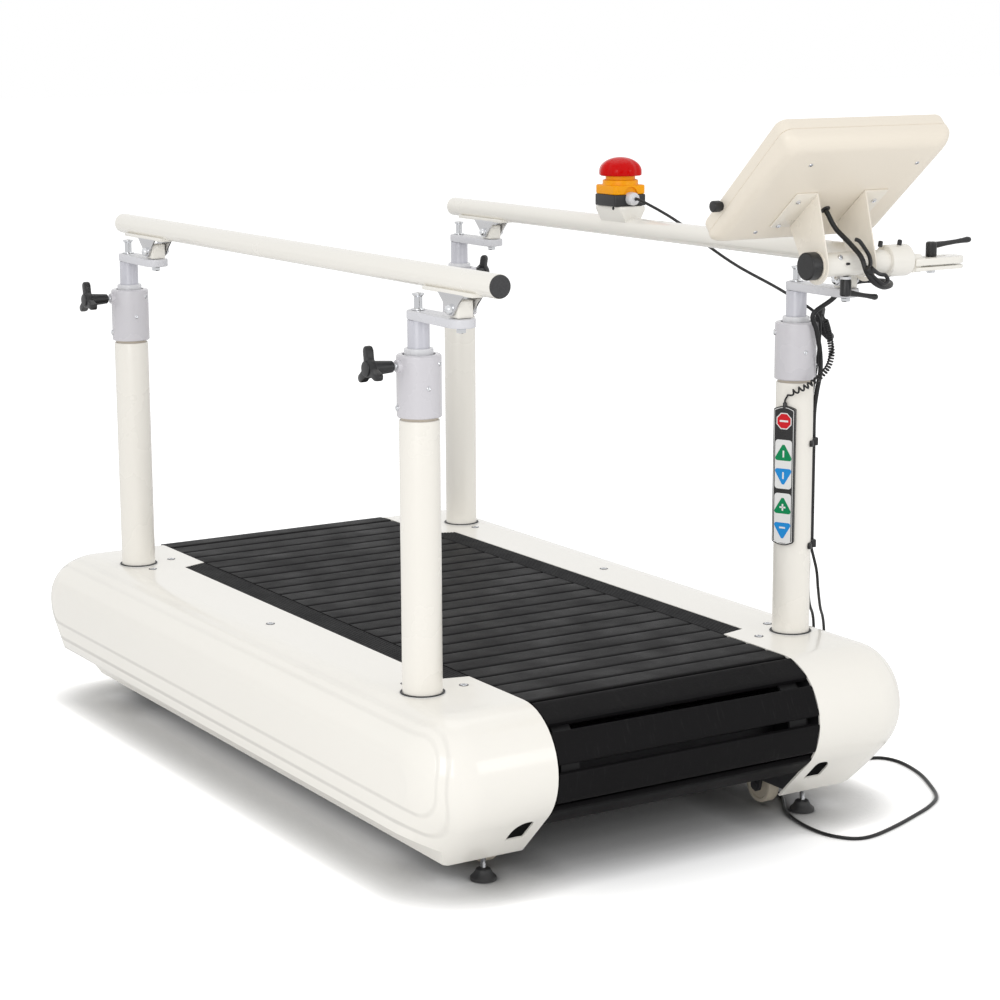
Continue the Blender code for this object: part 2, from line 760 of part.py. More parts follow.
def drive_motor():
    """Turn the motor with its shaft and add the foot that bolts to the front crossmember."""
    bell = MOTOR_R - 0.008
    shaft_end = PULLEY_X + PULLEY_WIDTH + 0.003
    body = turned([
        (0, -MOTOR_HALF), (bell, -MOTOR_HALF), (MOTOR_R, -MOTOR_HALF + 0.02), (MOTOR_R, MOTOR_HALF - 0.02),
        (bell, MOTOR_HALF), (MOTOR_SHAFT_R, MOTOR_HALF), (MOTOR_SHAFT_R, shaft_end), (0, shaft_end),
    ], "X", (0, MOTOR_Y, DRUM_Z), 12)
    seat = -CROSS_Y - CROSS_SIZE / 2 - GAP
    return join(body, block(-0.09, 0.09, MOTOR_Y + MOTOR_R - 0.03, seat, DRUM_Z - 0.022, DRUM_Z + 0.022))


def motor_pulley():
    near = PULLEY_X
    far = PULLEY_X + PULLEY_WIDTH
    hole = bore(MOTOR_SHAFT_R, 12)
    rim = MOTOR_PULLEY_R
    return turned([(hole, near), (rim, near), (rim, far), (hole, far)], "X", (0, MOTOR_Y, DRUM_Z), 12)


def drive_belt():
    """Lay the flat belt round the drum pulley and the motor pulley."""
    drum_r = (DRUM_PULLEY_R + 2 * GAP) / math.cos(math.pi / 2 / CARRIER_STEPS)
    motor_r = (MOTOR_PULLEY_R + 2 * GAP) / math.cos(math.pi / 2 / CARRIER_STEPS)
    outlines = []
    for shift in (DRIVE_BELT_THICK, 0.0):
        outlines.append(loop_outline((-DRUM_Y, DRUM_Z), drum_r + shift, (MOTOR_Y, DRUM_Z), motor_r + shift))
    return ring_prism(*outlines, PULLEY_X + 0.001, PULLEY_X + PULLEY_WIDTH - 0.001)


# Posts and what slides in them
def post():
    """Turn a post about its own axis, from its socket's floor to its rounded top edge."""
    inner = POST_R - POST_WALL
    return turned([
        (POST_R, SOCKET_FLOOR_Z + GAP), (POST_R, POST_TOP_Z - 0.004), (POST_R - 0.0015, POST_TOP_Z),
        (inner, POST_TOP_Z), (inner, SOCKET_FLOOR_Z + GAP),
    ])


def cable_clip(z):
    """Stand a cable clip on the front right post, beside the two cables."""
    clip = block(POST_R - 0.001, POST_R + 0.009, -0.005, 0.005, z - 0.007, z + 0.007)
    return turn(clip, Matrix.Rotation(math.radians(-32), 4, "Z"))


def collar(knob_turn):
    """Turn a clamp collar about its post's axis and bore the boss that takes the knob's stud."""
    spigot = POST_R - POST_WALL - GAP
    hollow = bore(INNER_R)
    body = turned([
        (spigot, POST_TOP_Z - SPIGOT_LENGTH), (spigot, COLLAR_BOTTOM_Z), (COLLAR_R, COLLAR_BOTTOM_Z),
        (COLLAR_R, COLLAR_TOP_Z - 0.002), (COLLAR_R - 0.002, COLLAR_TOP_Z), (FLANGE_R, COLLAR_TOP_Z),
        (FLANGE_R, FLANGE_TOP_Z), (hollow, FLANGE_TOP_Z), (hollow, POST_TOP_Z - SPIGOT_LENGTH),
    ])
    spin = Matrix.Rotation(math.radians(knob_turn), 4, "Z")
    boss = turn(rod(0.011, COLLAR_R - 0.008, COLLAR_R + 0.006, "X", (0, 0, KNOB_Z), 8), spin)
    hole = turn(rod(bore(KNOB_STUD_R, 8), INNER_R - 0.004, COLLAR_R + 0.02, "X", (0, 0, KNOB_Z), 8), spin)
    return cut(join(body, boss), hole)


def inner_tube():
    """Turn an inner tube about its axis, with the pivot and cap bolt that hold the link."""
    top = LINK_Z - GAP
    head = LINK_Z + LINK_THICK + GAP
    return turned([
        (0, head + 0.028), (0.0085, head + 0.028), (0.0085, head + 0.006), (0.012, head),
        (PIVOT_R, head), (PIVOT_R, top), (INNER_R, top), (INNER_R, INNER_BOTTOM_Z), (0, INNER_BOTTOM_Z),
    ])


def link():
    """Cut a flat link from plate. It runs from its tube's axis towards -Y."""
    outline = [(b, -a) for a, b in capsule(LINK_LENGTH, LINK_INNER_R, LINK_OUTER_R)]
    plate = prism("Z", outline, LINK_Z, LINK_Z + LINK_THICK)
    low = LINK_Z - 0.01
    high = LINK_Z + LINK_THICK + 0.01
    holes = [rod(bore(PIVOT_R, ROUND), low, high, "Z", (0, 0, 0), ROUND)]
    holes.append(rod(bore(BOLT_R, 10), low, high, "Z", (0, -LINK_LENGTH, 0), 10))
    return cut(plate, gather(holes))


def clamp_knob():
    """Shape a three-armed star knob on its stud, along +X from the tube's axis."""
    star = []
    for arm in range(3):
        middle = KNOB_PHASE + 120.0 * arm
        for swing, reach in ((-60, 0.016), (-24, 0.020), (-9, KNOB_ARM), (9, KNOB_ARM), (24, 0.020)):
            angle = math.radians(middle + swing)
            star.append((reach * math.cos(angle), KNOB_Z + reach * math.sin(angle)))
    near = KNOB_REACH - KNOB_THICK / 2
    body = prism("X", star, near, near + KNOB_THICK)
    stem = turned([
        (0, INNER_R + GAP), (KNOB_STUD_R, INNER_R + GAP), (KNOB_STUD_R, COLLAR_R + 0.012),
        (0.010, COLLAR_R + 0.014), (0.013, near + 0.004), (0.013, near + KNOB_THICK + 0.003),
        (0, near + KNOB_THICK + 0.003),
    ], "X", (0, 0, KNOB_Z), 8)
    return join(body, stem)


# Hand rails
def rail_fitting(post_y, saddle_front, saddle_rear):
    """Model what hangs under a rail at one link: saddle, ears, clevis block, pivot bolt and lower bolt."""
    y = post_y - LINK_LENGTH
    seat = LINK_Z + LINK_THICK + GAP
    pivot_z = (seat + CLEVIS_TOP_Z) / 2
    rail_bottom = RAIL_Z - RAIL_R
    half = CLEVIS_SIZE / 2
    plate = block(-EAR_HALF, EAR_HALF, y - saddle_front, y + saddle_rear, rail_bottom - 0.002, rail_bottom + 0.005)
    shapes = [plate]
    for side in (-1, 1):
        low = pivot_z - 0.007
        ear = [
            (y - 0.018, low), (y + 0.018, low), (y + 0.042, rail_bottom), (y - 0.042, rail_bottom),
        ]
        x0 = side * (EAR_HALF - EAR_WALL)
        x1 = side * EAR_HALF
        shapes.append(prism("X", ear, min(x0, x1), max(x0, x1)))
    shapes.append(block(-half, half, y - half, y + half, seat, CLEVIS_TOP_Z))
    bolt = turned([
        (0, -EAR_HALF - 0.0095), (0.0085, -EAR_HALF - 0.0095), (0.0085, -EAR_HALF + 0.001),
        (BOLT_R, -EAR_HALF + 0.001), (BOLT_R, EAR_HALF + 0.008), (0, EAR_HALF + 0.008),
    ], "X", (0, y, pivot_z), 6)
    shapes.append(bolt)
    shapes.append(turned([
        (0, LINK_Z - 0.0093), (0.009, LINK_Z - 0.0093), (0.009, LINK_Z - GAP), (BOLT_R, LINK_Z - GAP),
        (BOLT_R, seat + 0.004), (0, seat + 0.004),
    ], "Z", (0, y, 0), 10))
    return shapes


def left_rail():
    """Turn the left rail with its plug seat in front and weld its two fittings."""
    front = LEFT_RAIL_FRONT_Y
    seat = front + PLUG_DEPTH + GAP
    inner = RAIL_R - RAIL_WALL
    tube = turned([
        (0, seat), (inner, seat), (inner, front), (RAIL_R, front), (RAIL_R, RAIL_REAR_Y - 0.006),
        (RAIL_R - 0.004, RAIL_REAR_Y - 0.001), (0, RAIL_REAR_Y),
    ], "Y", (0, 0, RAIL_Z), ROUND)
    return join(tube, *rail_fitting(-POST_Y, 0.069, 0.092), *rail_fitting(POST_Y, 0.072, 0.108))


def rail_plug():
    front = LEFT_RAIL_FRONT_Y
    inner = RAIL_R - RAIL_WALL - GAP
    return turned([
        (0, front - 0.004), (RAIL_R - 0.003, front - 0.004), (RAIL_R, front - 0.002), (RAIL_R, front - GAP),
        (inner, front - GAP), (inner, front + PLUG_DEPTH), (0, front + PLUG_DEPTH),
    ], "Y", (0, 0, RAIL_Z), ROUND)


def right_rail():
    """Turn the right rail up to the crossbar and weld its fittings and the stop's saddle."""
    front = BAR_Y + BAR_R + GAP
    tube = turned([
        (0, front), (RAIL_R, front), (RAIL_R, RAIL_REAR_Y - 0.006),
        (RAIL_R - 0.004, RAIL_REAR_Y - 0.001), (0, RAIL_REAR_Y),
    ], "Y", (0, 0, RAIL_Z), ROUND)
    saddle = prism("Y", [
        (-SADDLE_HALF_X, SADDLE_TOP_Z), (SADDLE_HALF_X, SADDLE_TOP_Z), (SADDLE_HALF_X, SADDLE_TOP_Z - 0.008),
        (RAIL_R - 0.004, RAIL_Z + 0.008), (-RAIL_R + 0.004, RAIL_Z + 0.008), (-SADDLE_HALF_X, SADDLE_TOP_Z - 0.008),
    ], STOP_Y - SADDLE_HALF_Y, STOP_Y + SADDLE_HALF_Y)
    room = front - (-POST_Y - LINK_LENGTH) + 0.004
    fittings = rail_fitting(-POST_Y, -room, 0.092) + rail_fitting(POST_Y, 0.072, 0.108)
    return join(tube, saddle, *fittings)


# Crossbar, display and side arm
def crossbar():
    """Turn the crossbar with its two bush rings and the thick clamp body on the right."""
    left = BAR_LEFT_X + GAP
    profile = [(0, left), (BAR_R, left)]
    for x in (EAR_LEFT_X + BUSH_SHIFT, EAR_RIGHT_X - BUSH_SHIFT):
        for radius, shift in ((BAR_R, -1), (BUSH_R, -1), (BUSH_R, 1), (BAR_R, 1)):
            profile.append((radius, x + shift * BUSH_WIDTH / 2))
    profile += [
        (BAR_R, BAR_BODY_X), (BAR_BODY_R - 0.003, BAR_BODY_X), (BAR_BODY_R, BAR_BODY_X + 0.003),
        (BAR_BODY_R, BAR_RIGHT_X - 0.003), (BAR_BODY_R - 0.003, BAR_RIGHT_X), (0, BAR_RIGHT_X),
    ]
    return turned(profile, "X", (0, BAR_Y, BAR_Z), ROUND)


def crossbar_cap():
    near = BAR_LEFT_X
    far = near - BAR_CAP_LENGTH
    return turned([
        (0, far), (BAR_CAP_R - 0.004, far), (BAR_CAP_R, far + 0.003), (BAR_CAP_R, near), (0, near),
    ], "X", (0, BAR_Y, BAR_Z), ROUND)


def display_point(x, rise, out):
    """Give a point in the display's own frame: X reversed, rise up the screen, out towards the runner."""
    return (DISPLAY_X - x, rise, out)


def shell_back(rise):
    """Give the depth of the display's back below the crossbar frame's seam plane at a height."""
    bottom = SEAM_RISE - DISPLAY_LENGTH / 2
    share = (rise - bottom) / DISPLAY_LENGTH
    return SEAM_STAND_OFF - SHELL_DEPTH_BOTTOM - (SHELL_DEPTH_TOP - SHELL_DEPTH_BOTTOM) * share


def display_shell():
    """Loft the rear shell: straight wall at the seam, then rounded into a back that slopes."""
    rings = []
    for inset, share in ((0.0, 0.0), (0.0, 0.30), (0.004, 0.62), (0.011, 0.86), (0.024, 1.0)):
        outline = rounded_rectangle(
            DISPLAY_WIDTH - 2 * inset, DISPLAY_LENGTH - 2 * inset, DISPLAY_CORNER + inset * 0.3)
        ring = []
        for x, y in outline:
            rise = SEAM_RISE + y
            depth = (SEAM_STAND_OFF - shell_back(rise)) * share
            ring.append((x, rise, SEAM_STAND_OFF - depth))
        rings.append(ring)
    return loft(rings)


def display_front():
    """Loft the bezel in front of the seam, with its screen set back, and fuse the side knob."""
    rings = []
    steps = ((0.0, GAP), (0.0, 0.018), (0.006, FRONT_DEPTH), (SCREEN_BORDER, FRONT_DEPTH))
    for inset, height in steps + ((SCREEN_BORDER + 0.002, FRONT_DEPTH - 0.003),):
        radius = max(0.004, DISPLAY_CORNER - inset * 0.5)
        outline = rounded_rectangle(DISPLAY_WIDTH - 2 * inset, DISPLAY_LENGTH - 2 * inset, radius)
        rings.append([(x, SEAM_RISE + y, SEAM_STAND_OFF + height) for x, y in outline])
    side = DISPLAY_WIDTH / 2
    knob = rod(DISPLAY_TILT_KNOB_R, side - 0.004, side + 0.018, "X", (0, 0.004, SEAM_STAND_OFF + FRONT_DEPTH / 2))
    return join(loft(rings), knob)


def display_bracket():
    """Fold the bracket: two gussets with ears round the crossbar, two flanges and a lower web."""
    low_rise = -0.013
    high_rise = 0.084
    flat_low = shell_back(low_rise) - GAP
    flat_high = shell_back(high_rise) - GAP
    shapes = []
    for x in (EAR_LEFT_X, EAR_RIGHT_X):
        local = DISPLAY_X - x
        gusset = [(-EAR_R + 0.002, 0.0), (EAR_R - 0.002, 0.0), (high_rise, flat_high), (low_rise, flat_low)]
        shapes.append(prism("X", gusset, local - SHEET / 2, local + SHEET / 2))
        shapes.append(rod(EAR_R, local - SHEET / 2, local + SHEET / 2, "X", (0, 0, 0), 16))
    flange = [
        (low_rise, flat_low), (high_rise, flat_high), (high_rise, flat_high - SHEET), (low_rise, flat_low - SHEET),
    ]
    left = (DISPLAY_X - EAR_LEFT_X - SHEET / 4, DISPLAY_X - FLANGE_LEFT_X)
    right = (DISPLAY_X - FLANGE_RIGHT_X, DISPLAY_X - EAR_RIGHT_X + SHEET / 4)
    shapes.append(prism("X", flange, *left))
    shapes.append(prism("X", flange, *right))
    web = [(low_rise, BUSH_R + 0.012), (low_rise + SHEET, BUSH_R + 0.012)]
    web += [(low_rise + SHEET, flat_low - SHEET), (low_rise, flat_low - SHEET)]
    shapes.append(prism("X", web, DISPLAY_X - EAR_RIGHT_X, DISPLAY_X - EAR_LEFT_X))
    solid = join(shapes[0], *shapes[1:])
    bores = []
    for x in (EAR_LEFT_X, EAR_RIGHT_X):
        local = DISPLAY_X - x
        bores.append(rod(bore(BUSH_R, 16), local - 0.004, local + 0.004, "X", (0, 0, 0), 16))
    return cut(solid, gather(bores))


def lever_arm(hub_top, rise, reach, thick):
    """Outline a clamp lever's arm in X and Z, from its hub outwards."""
    return [
        (0.0, hub_top - 0.014), (LEVER_HUB_R * 0.9, hub_top - 0.013), (reach - 0.004, hub_top + rise - 0.010),
        (reach, hub_top + rise - 0.006), (reach, hub_top + rise), (reach - 0.004, hub_top + rise + 0.002),
        (LEVER_HUB_R * 0.9, hub_top), (0.0, hub_top),
    ]


def tilt_lever():
    """Shape the clamp lever that hangs under the crossbar, about its own axis."""
    seat = BAR_Z - BAR_R - GAP
    top = seat - 0.006
    bottom = top - 0.030
    hub = turned([
        (0, seat), (0.005, seat), (0.005, top), (LEVER_HUB_R, top), (LEVER_HUB_R, bottom + 0.002),
        (LEVER_HUB_R - 0.002, bottom), (0, bottom),
    ], "Z", (0, 0, 0), 10)
    arm = lever_arm(bottom + 0.014, -0.012, 0.073, 0.010)
    return join(hub, prism("Y", arm, -0.005, 0.005))


def side_arm():
    """Join the slotted double plate and the block that seats on the crossbar's end."""
    near = BAR_RIGHT_X + GAP
    width = ARM_HALF_WIDTH
    tip = ARM_END_X - width
    outline = [(near + 0.004, BAR_Y - width), *arc((tip, BAR_Y), width, -90, 90, 8), (near + 0.004, BAR_Y + width)]
    upper = prism("Z", outline, ARM_TOP_Z - ARM_UPPER_THICK, ARM_TOP_Z)
    lower = prism("Z", outline, ARM_BOTTOM_Z, ARM_BOTTOM_Z + ARM_LOWER_THICK)
    root = block(near, near + 0.022, BAR_Y - 0.020, BAR_Y + 0.020, ARM_BOTTOM_Z - 0.002, ARM_TOP_Z + 0.008)
    slot = []
    for x, start in ((ARM_LEVER_X + 0.030, -90), (ARM_LEVER_X - 0.020, 90)):
        slot += arc((x, BAR_Y), KNOB_STUD_R + 0.001, start, start + 180, 4)
    return cut(join(upper, lower, root), prism("Z", slot, ARM_BOTTOM_Z - 0.01, ARM_TOP_Z + 0.01))


def arm_lever():
    """Shape the clamp lever on the side arm about its own axis, with its bolt and nut."""
    hub_top = ARM_TOP_Z + 0.027
    nut = ARM_BOTTOM_Z - GAP
    hub = turned([
        (0, hub_top), (LEVER_HUB_R - 0.002, hub_top), (LEVER_HUB_R, hub_top - 0.002),
        (LEVER_HUB_R, ARM_TOP_Z + GAP), (KNOB_STUD_R, ARM_TOP_Z + GAP), (KNOB_STUD_R, nut), (0.0085, nut),
        (0.0085, nut - 0.006), (0, nut - 0.006),
    ], "Z", (0, 0, 0), 10)
    return join(hub, prism("Y", lever_arm(hub_top, 0.012, LEVER_REACH, 0.010), -0.005, 0.005))


# Emergency stop and keypad
def rounded_block(size, radius, z0, z1):
    return prism("Z", rounded_rectangle(size, size, radius, 3), z0, z1)


def stop_enclosure():
    """Mould the lower half of the stop's box about the rail's axis and fuse the cable gland."""
    z0 = SADDLE_TOP_Z + GAP
    z1 = z0 + STOP_BASE_HEIGHT
    face = -STOP_SIZE / 2
    gland_z = z0 + STOP_BASE_HEIGHT * 0.66
    gland = turned([
        (0, face + 0.010), (0.006, face + 0.010), (0.006, face - 0.0004), (GLAND_R, face - 0.0004),
        (GLAND_R, face - GLAND_LENGTH * 0.7), (GLAND_R * 0.7, face - GLAND_LENGTH), (0, face - GLAND_LENGTH),
    ], "Y", (0, 0, gland_z), 10)
    return join(rounded_block(STOP_SIZE, 0.006, z0, z1), gland)


def stop_lid():
    """Mould the lid with the raised ring round the button's stem."""
    z0 = SADDLE_TOP_Z + 2 * GAP + STOP_BASE_HEIGHT
    z1 = z0 + LID_HEIGHT
    lid = rounded_block(STOP_SIZE, 0.008, z0, z1)
    ring = rod(LID_RING_R, z1 - 0.004, z1 + LID_RING_HEIGHT, "Z", (0, 0, 0), ROUND)
    hole = rod(bore(BUTTON_STEM_R), z0 - 0.01, z1 + 0.02, "Z", (0, 0, 0), ROUND)
    return cut(join(lid, ring), hole)


def stop_button():
    """Turn the mushroom button. Its stem enters the lid's ring with room for its travel."""
    seat = SADDLE_TOP_Z + 2 * GAP + STOP_BASE_HEIGHT + LID_HEIGHT
    under = seat + LID_RING_HEIGHT + BUTTON_TRAVEL + 0.002
    top = under + BUTTON_HEIGHT
    low = seat + 0.001
    profile = [(0, low), (BUTTON_STEM_R, low), (BUTTON_STEM_R, under), (BUTTON_R - 0.003, under)]
    profile += [(BUTTON_R, under + 0.003), (BUTTON_R, under + 0.009)]
    for angle in (22, 44, 66):
        reach = math.radians(angle)
        height = BUTTON_HEIGHT - 0.009
        profile.append((BUTTON_R * math.cos(reach), under + 0.009 + height * math.sin(reach)))
    profile.append((0, top))
    return turned(profile, "Z", (0, 0, 0), ROUND)


def keypad_panel():
    """Mould the keypad about its post's axis: flat face, arched ends and a back that fits the post."""
    half = KEYPAD_WIDTH / 2
    drop = 0.006
    outline = [(-half, KEYPAD_BOTTOM_Z + drop), (-half * 0.5, KEYPAD_BOTTOM_Z + drop * 0.3)]
    outline += [(0, KEYPAD_BOTTOM_Z), (half * 0.5, KEYPAD_BOTTOM_Z + drop * 0.3), (half, KEYPAD_BOTTOM_Z + drop)]
    outline += [(half, KEYPAD_TOP_Z - drop), (half * 0.5, KEYPAD_TOP_Z - drop * 0.3), (0, KEYPAD_TOP_Z)]
    outline += [(-half * 0.5, KEYPAD_TOP_Z - drop * 0.3), (-half, KEYPAD_TOP_Z - drop)]
    body = prism("X", outline, POST_R - 0.012, KEYPAD_FACE_R)
    socket = rod(0.004, KEYPAD_TOP_Z - 0.006, KEYPAD_TOP_Z + 0.007, "Z", (POST_R + 0.0055, 0, 0), 8)
    spin = Matrix.Rotation(math.radians(KEYPAD_TURN), 4, "Z")
    well = rod(bore(POST_R), KEYPAD_BOTTOM_Z - 0.01, KEYPAD_TOP_Z + 0.02, "Z", (0, 0, 0), ROUND)
    return cut(turn(join(body, socket), spin), well)


# Cables
def smooth_route(points, spacing):
    """Read evenly spaced points from a smooth curve through the route's points, with straight ends."""
    line = [Vector(point) for point in points]
    line = [line[0] * 2 - line[1]] + line + [line[-1] * 2 - line[-2]]
    fine = []
    for a, b, c, d in zip(line, line[1:], line[2:], line[3:]):
        for i in range(40):
            t = i / 40
            fine.append(0.5 * (
                2 * b + (c - a) * t + (2 * a - 5 * b + 4 * c - d) * t ** 2 + (3 * b - a - 3 * c + d) * t ** 3))
    fine.append(line[-2])
    length = sum((q - p).length for p, q in zip(fine, fine[1:]))
    count = max(2, round(length / spacing))
    step = length / count
    result = [fine[0]]
    travelled = 0.0
    for p, q in zip(fine, fine[1:]):
        piece = (q - p).length
        while piece > 0 and travelled + piece >= step * len(result) - 1e-9 and len(result) < count:
            share = (step * len(result) - travelled) / piece
            result.append(p.lerp(q, share))
        travelled += piece
    result.append(fine[-1])
    lead = Vector(points[1])
    if (lead - result[0]).length < 0.5 * spacing:
        result.insert(1, lead)
    tail = Vector(points[-2])
    if (tail - result[-1]).length < 0.7 * spacing:
        result[-1:-1] = [tail] if (tail - result[-2]).length > 0.2 * spacing else []
    return result


def tube_curve(name, points, radius, material, parent, resolution=2):
    """Draw a cable as a curve with a round section and filled caps."""
    curve = bpy.data.curves.new(name, "CURVE")
    curve.dimensions = "3D"
    curve.bevel_depth = radius
    curve.bevel_resolution = resolution
    curve.resolution_u = 1
    curve.render_resolution_u = 0
    curve.use_fill_caps = True
    curve.materials.append(material)
    spline = curve.splines.new("POLY")
    spline.points.add(len(points) - 1)
    for slot, point in zip(spline.points, points):
        slot.co = (*point, 1.0)
    item = bpy.data.objects.new(name, curve)
    bpy.context.scene.collection.objects.link(item)
    hang(item, parent, (0.0, 0.0, 0.0))
    return item


def on_post(turn_angle, radius, z):
    """Give a point beside the front right post."""
    angle = math.radians(turn_angle)
    return (POST_X + radius * math.cos(angle), -POST_Y + radius * math.sin(angle), z)


def by_post(across, ahead, z):
    """Give a point by its distances from the front right post's axis."""
    return (POST_X + across, -POST_Y + ahead, z)


def display_route():
    """Lead the display cable from its grommet over the crossbar and down the post to the lower clip."""
    lift = math.radians(DISPLAY_TILT)
    rise = SEAM_RISE - 0.048
    out = shell_back(rise) - 3 * GAP
    start = Vector((DISPLAY_X + 0.011, BAR_Y - rise * math.cos(lift) + out * math.sin(lift),
                    BAR_Z + rise * math.sin(lift) + out * math.cos(lift)))
    inward = Vector((0, -math.sin(lift), -math.cos(lift)))
    radius = POST_R + GAP + DISPLAY_CABLE_R
    points = [start, start + inward * 0.010, by_post(-0.07, -0.194, 1.09), by_post(-0.061, -0.222, 1.066)]
    points += [by_post(-0.058, -0.25, 1.044), by_post(-0.055, -0.261, 1.02)]
    points += [by_post(-0.041, -0.264, 1.001), by_post(-0.015, -0.259, 0.99)]
    points += [by_post(0.014, -0.245, 0.99), by_post(0.037, -0.213, 0.992)]
    points += [by_post(0.043, -0.168, 0.99), by_post(0.042, -0.123, 0.984)]
    points += [by_post(0.039, -0.089, 0.97), by_post(0.031, -0.063, 0.946), on_post(-88, 0.0475, 0.920)]
    points += [on_post(-76, 0.0475, 0.890), on_post(-58, 0.0475, 0.850), on_post(-38, 0.0465, 0.810)]
    points += [on_post(-22, 0.0425, 0.770), on_post(-15, radius, 0.730), on_post(-14, radius, 0.670)]
    points += [on_post(-14, radius, 0.600), on_post(-14, radius, 0.540), on_post(-14, radius, CLIP_Z[1] + GAP)]
    return points


def stop_route():
    """Lead the stop's cable from its gland past the rail and down the post to the frame's underside."""
    radius = POST_R + GAP + STOP_CABLE_R
    gland_z = SADDLE_TOP_Z + GAP + STOP_BASE_HEIGHT * 0.66
    start = STOP_Y - STOP_SIZE / 2 - GLAND_LENGTH - GAP
    points = [(POST_X, start, gland_z), (POST_X, start - 0.008, gland_z), by_post(0.007, 0.487, 1.088)]
    points += [by_post(0.02, 0.457, 1.074), by_post(0.0265, 0.421, 1.06), by_post(0.029, 0.367, 1.04)]
    points += [by_post(0.0275, 0.317, 1.019), by_post(0.027, 0.217, 0.986)]
    points += [by_post(0.027, 0.097, 0.956), by_post(0.029, 0.027, 0.935)]
    points += [on_post(-14, 0.0350, 0.920), on_post(-22, 0.0450, 0.905), on_post(-20, 0.0470, 0.880)]
    points += [on_post(-12, 0.0460, 0.830), on_post(-4, 0.0420, 0.780), on_post(-1, radius, 0.740)]
    points += [on_post(-1, radius, 0.670), on_post(-1, radius, 0.600), on_post(-1, radius, 0.540)]
    points += [on_post(-1, radius, 0.484), by_post(0.046, 0.005, 0.44), by_post(0.063, 0.027, 0.392)]
    points += [by_post(0.091, 0.057, 0.345), by_post(0.118, 0.079, 0.312)]
    points += [by_post(0.1275, 0.087, 0.27), by_post(0.129, 0.089, 0.18)]
    points += [by_post(0.123, 0.091, 0.1), by_post(0.089, 0.097, 0.045)]
    points += [by_post(0.019, 0.112, 0.022), by_post(-0.051, 0.132, 0.024)]
    points += [by_post(-0.079, 0.141, 0.033), by_post(-0.086, 0.144, FRAME_BOTTOM_Z - 0.01)]
    points += [by_post(-0.086, 0.144, FRAME_BOTTOM_Z - GAP)]
    return points


def floor_route():
    """Lead the cord from the lower clip over the cover's side, across the floor and up to the frame."""
    radius = POST_R + GAP + DISPLAY_CABLE_R
    lie = FLOOR_CORD_R + 0.0002
    points = [on_post(-14, radius, CLIP_Z[1] - GAP), on_post(-14, radius, CLIP_Z[1] - 0.010)]
    points += [by_post(0.048, -0.015, 0.43), by_post(0.061, -0.005, 0.39), by_post(0.089, 0.022, 0.345)]
    points += [by_post(0.117, 0.047, 0.313), by_post(0.13, 0.058, 0.27)]
    points += [by_post(0.137, 0.064, 0.17), by_post(0.155, 0.067, 0.07)]
    points += [by_post(0.199, 0.072, 0.018), by_post(0.244, 0.071, lie), by_post(0.281, 0.059, lie)]
    points += [by_post(0.295, 0.017, lie), by_post(0.281, -0.053, lie)]
    points += [by_post(0.251, -0.12, lie), by_post(0.21, -0.187, lie)]
    points += [by_post(0.159, -0.225, lie), by_post(0.095, -0.254, lie)]
    points += [by_post(0.029, -0.28, lie), by_post(-0.035, -0.299, lie)]
    points += [by_post(-0.071, -0.298, lie), by_post(-0.093, -0.279, lie)]
    points += [by_post(-0.108, -0.243, lie), by_post(-0.109, -0.192, lie)]
    points += [by_post(-0.098, -0.135, lie), by_post(-0.081, -0.096, lie)]
    points += [by_post(-0.059, -0.065, lie), by_post(-0.037, -0.028, lie)]
    points += [by_post(-0.033, 0.009, 0.0085), by_post(-0.051, 0.041, 0.022), by_post(-0.075, 0.058, 0.034)]
    points += [by_post(-0.083, 0.061, FRAME_BOTTOM_Z - 0.01), by_post(-0.083, 0.061, FRAME_BOTTOM_Z - GAP)]
    return points


def curly_cord():
    """Wind the keypad's cord about its route, with straight ends, and print its least gap to itself."""
    spin = math.radians(KEYPAD_TURN)
    reach = POST_R + 0.0055
    foot_z = KEYPAD_TOP_Z + 0.007 + GAP
    foot_point = Vector((POST_X + reach * math.cos(spin), -POST_Y + reach * math.sin(spin), foot_z))
    route = [foot_point + Vector((0, 0, 0.006)), by_post(-0.033, -0.034, 0.776), by_post(-0.015, -0.055, 0.790)]
    route += [by_post(0.009, -0.062, 0.806), by_post(0.029, -0.061, 0.824), by_post(0.039, -0.057, 0.846)]
    route += [by_post(0.036, -0.056, 0.869), by_post(0.027, -0.060, 0.891), by_post(0.015, -0.065, 0.912)]
    count = CURL_COUNT * CURL_POINTS
    fine = smooth_route(route, 0.0005)
    coil = []
    side = Vector((1, 0, 0))
    for i in range(count + 1):
        share = i / count
        index = min(len(fine) - 2, int(share * (len(fine) - 1)))
        ahead = (fine[index + 1] - fine[index]).normalized()
        side = (side - ahead * side.dot(ahead)).normalized()
        other = ahead.cross(side)
        angle = 2 * math.pi * CURL_COUNT * share
        grow = min(1.0, i / CURL_POINTS, (count - i) / CURL_POINTS)
        centre = fine[index].lerp(fine[index + 1], share * (len(fine) - 1) - index)
        coil.append(centre + (side * math.cos(angle) + other * math.sin(angle)) * CURL_R * grow)
    lead = [foot_point, foot_point + Vector((0, 0, 2 * CURL_TUBE_R))]
    end = coil[-1]
    tail = [end + Vector((-0.002, 0.001, 0.004)), end + Vector((-0.004, 0.003, 0.010))]
    points = lead + coil[1:] + tail
    least = 1.0
    for i, p in enumerate(points):
        for q in points[i + CURL_POINTS // 2 + 1:]:
            least = min(least, (q - p).length - 2 * CURL_TUBE_R)
    print(f"curly cord: least gap to itself {least * 1000:.2f} mm")
    return points


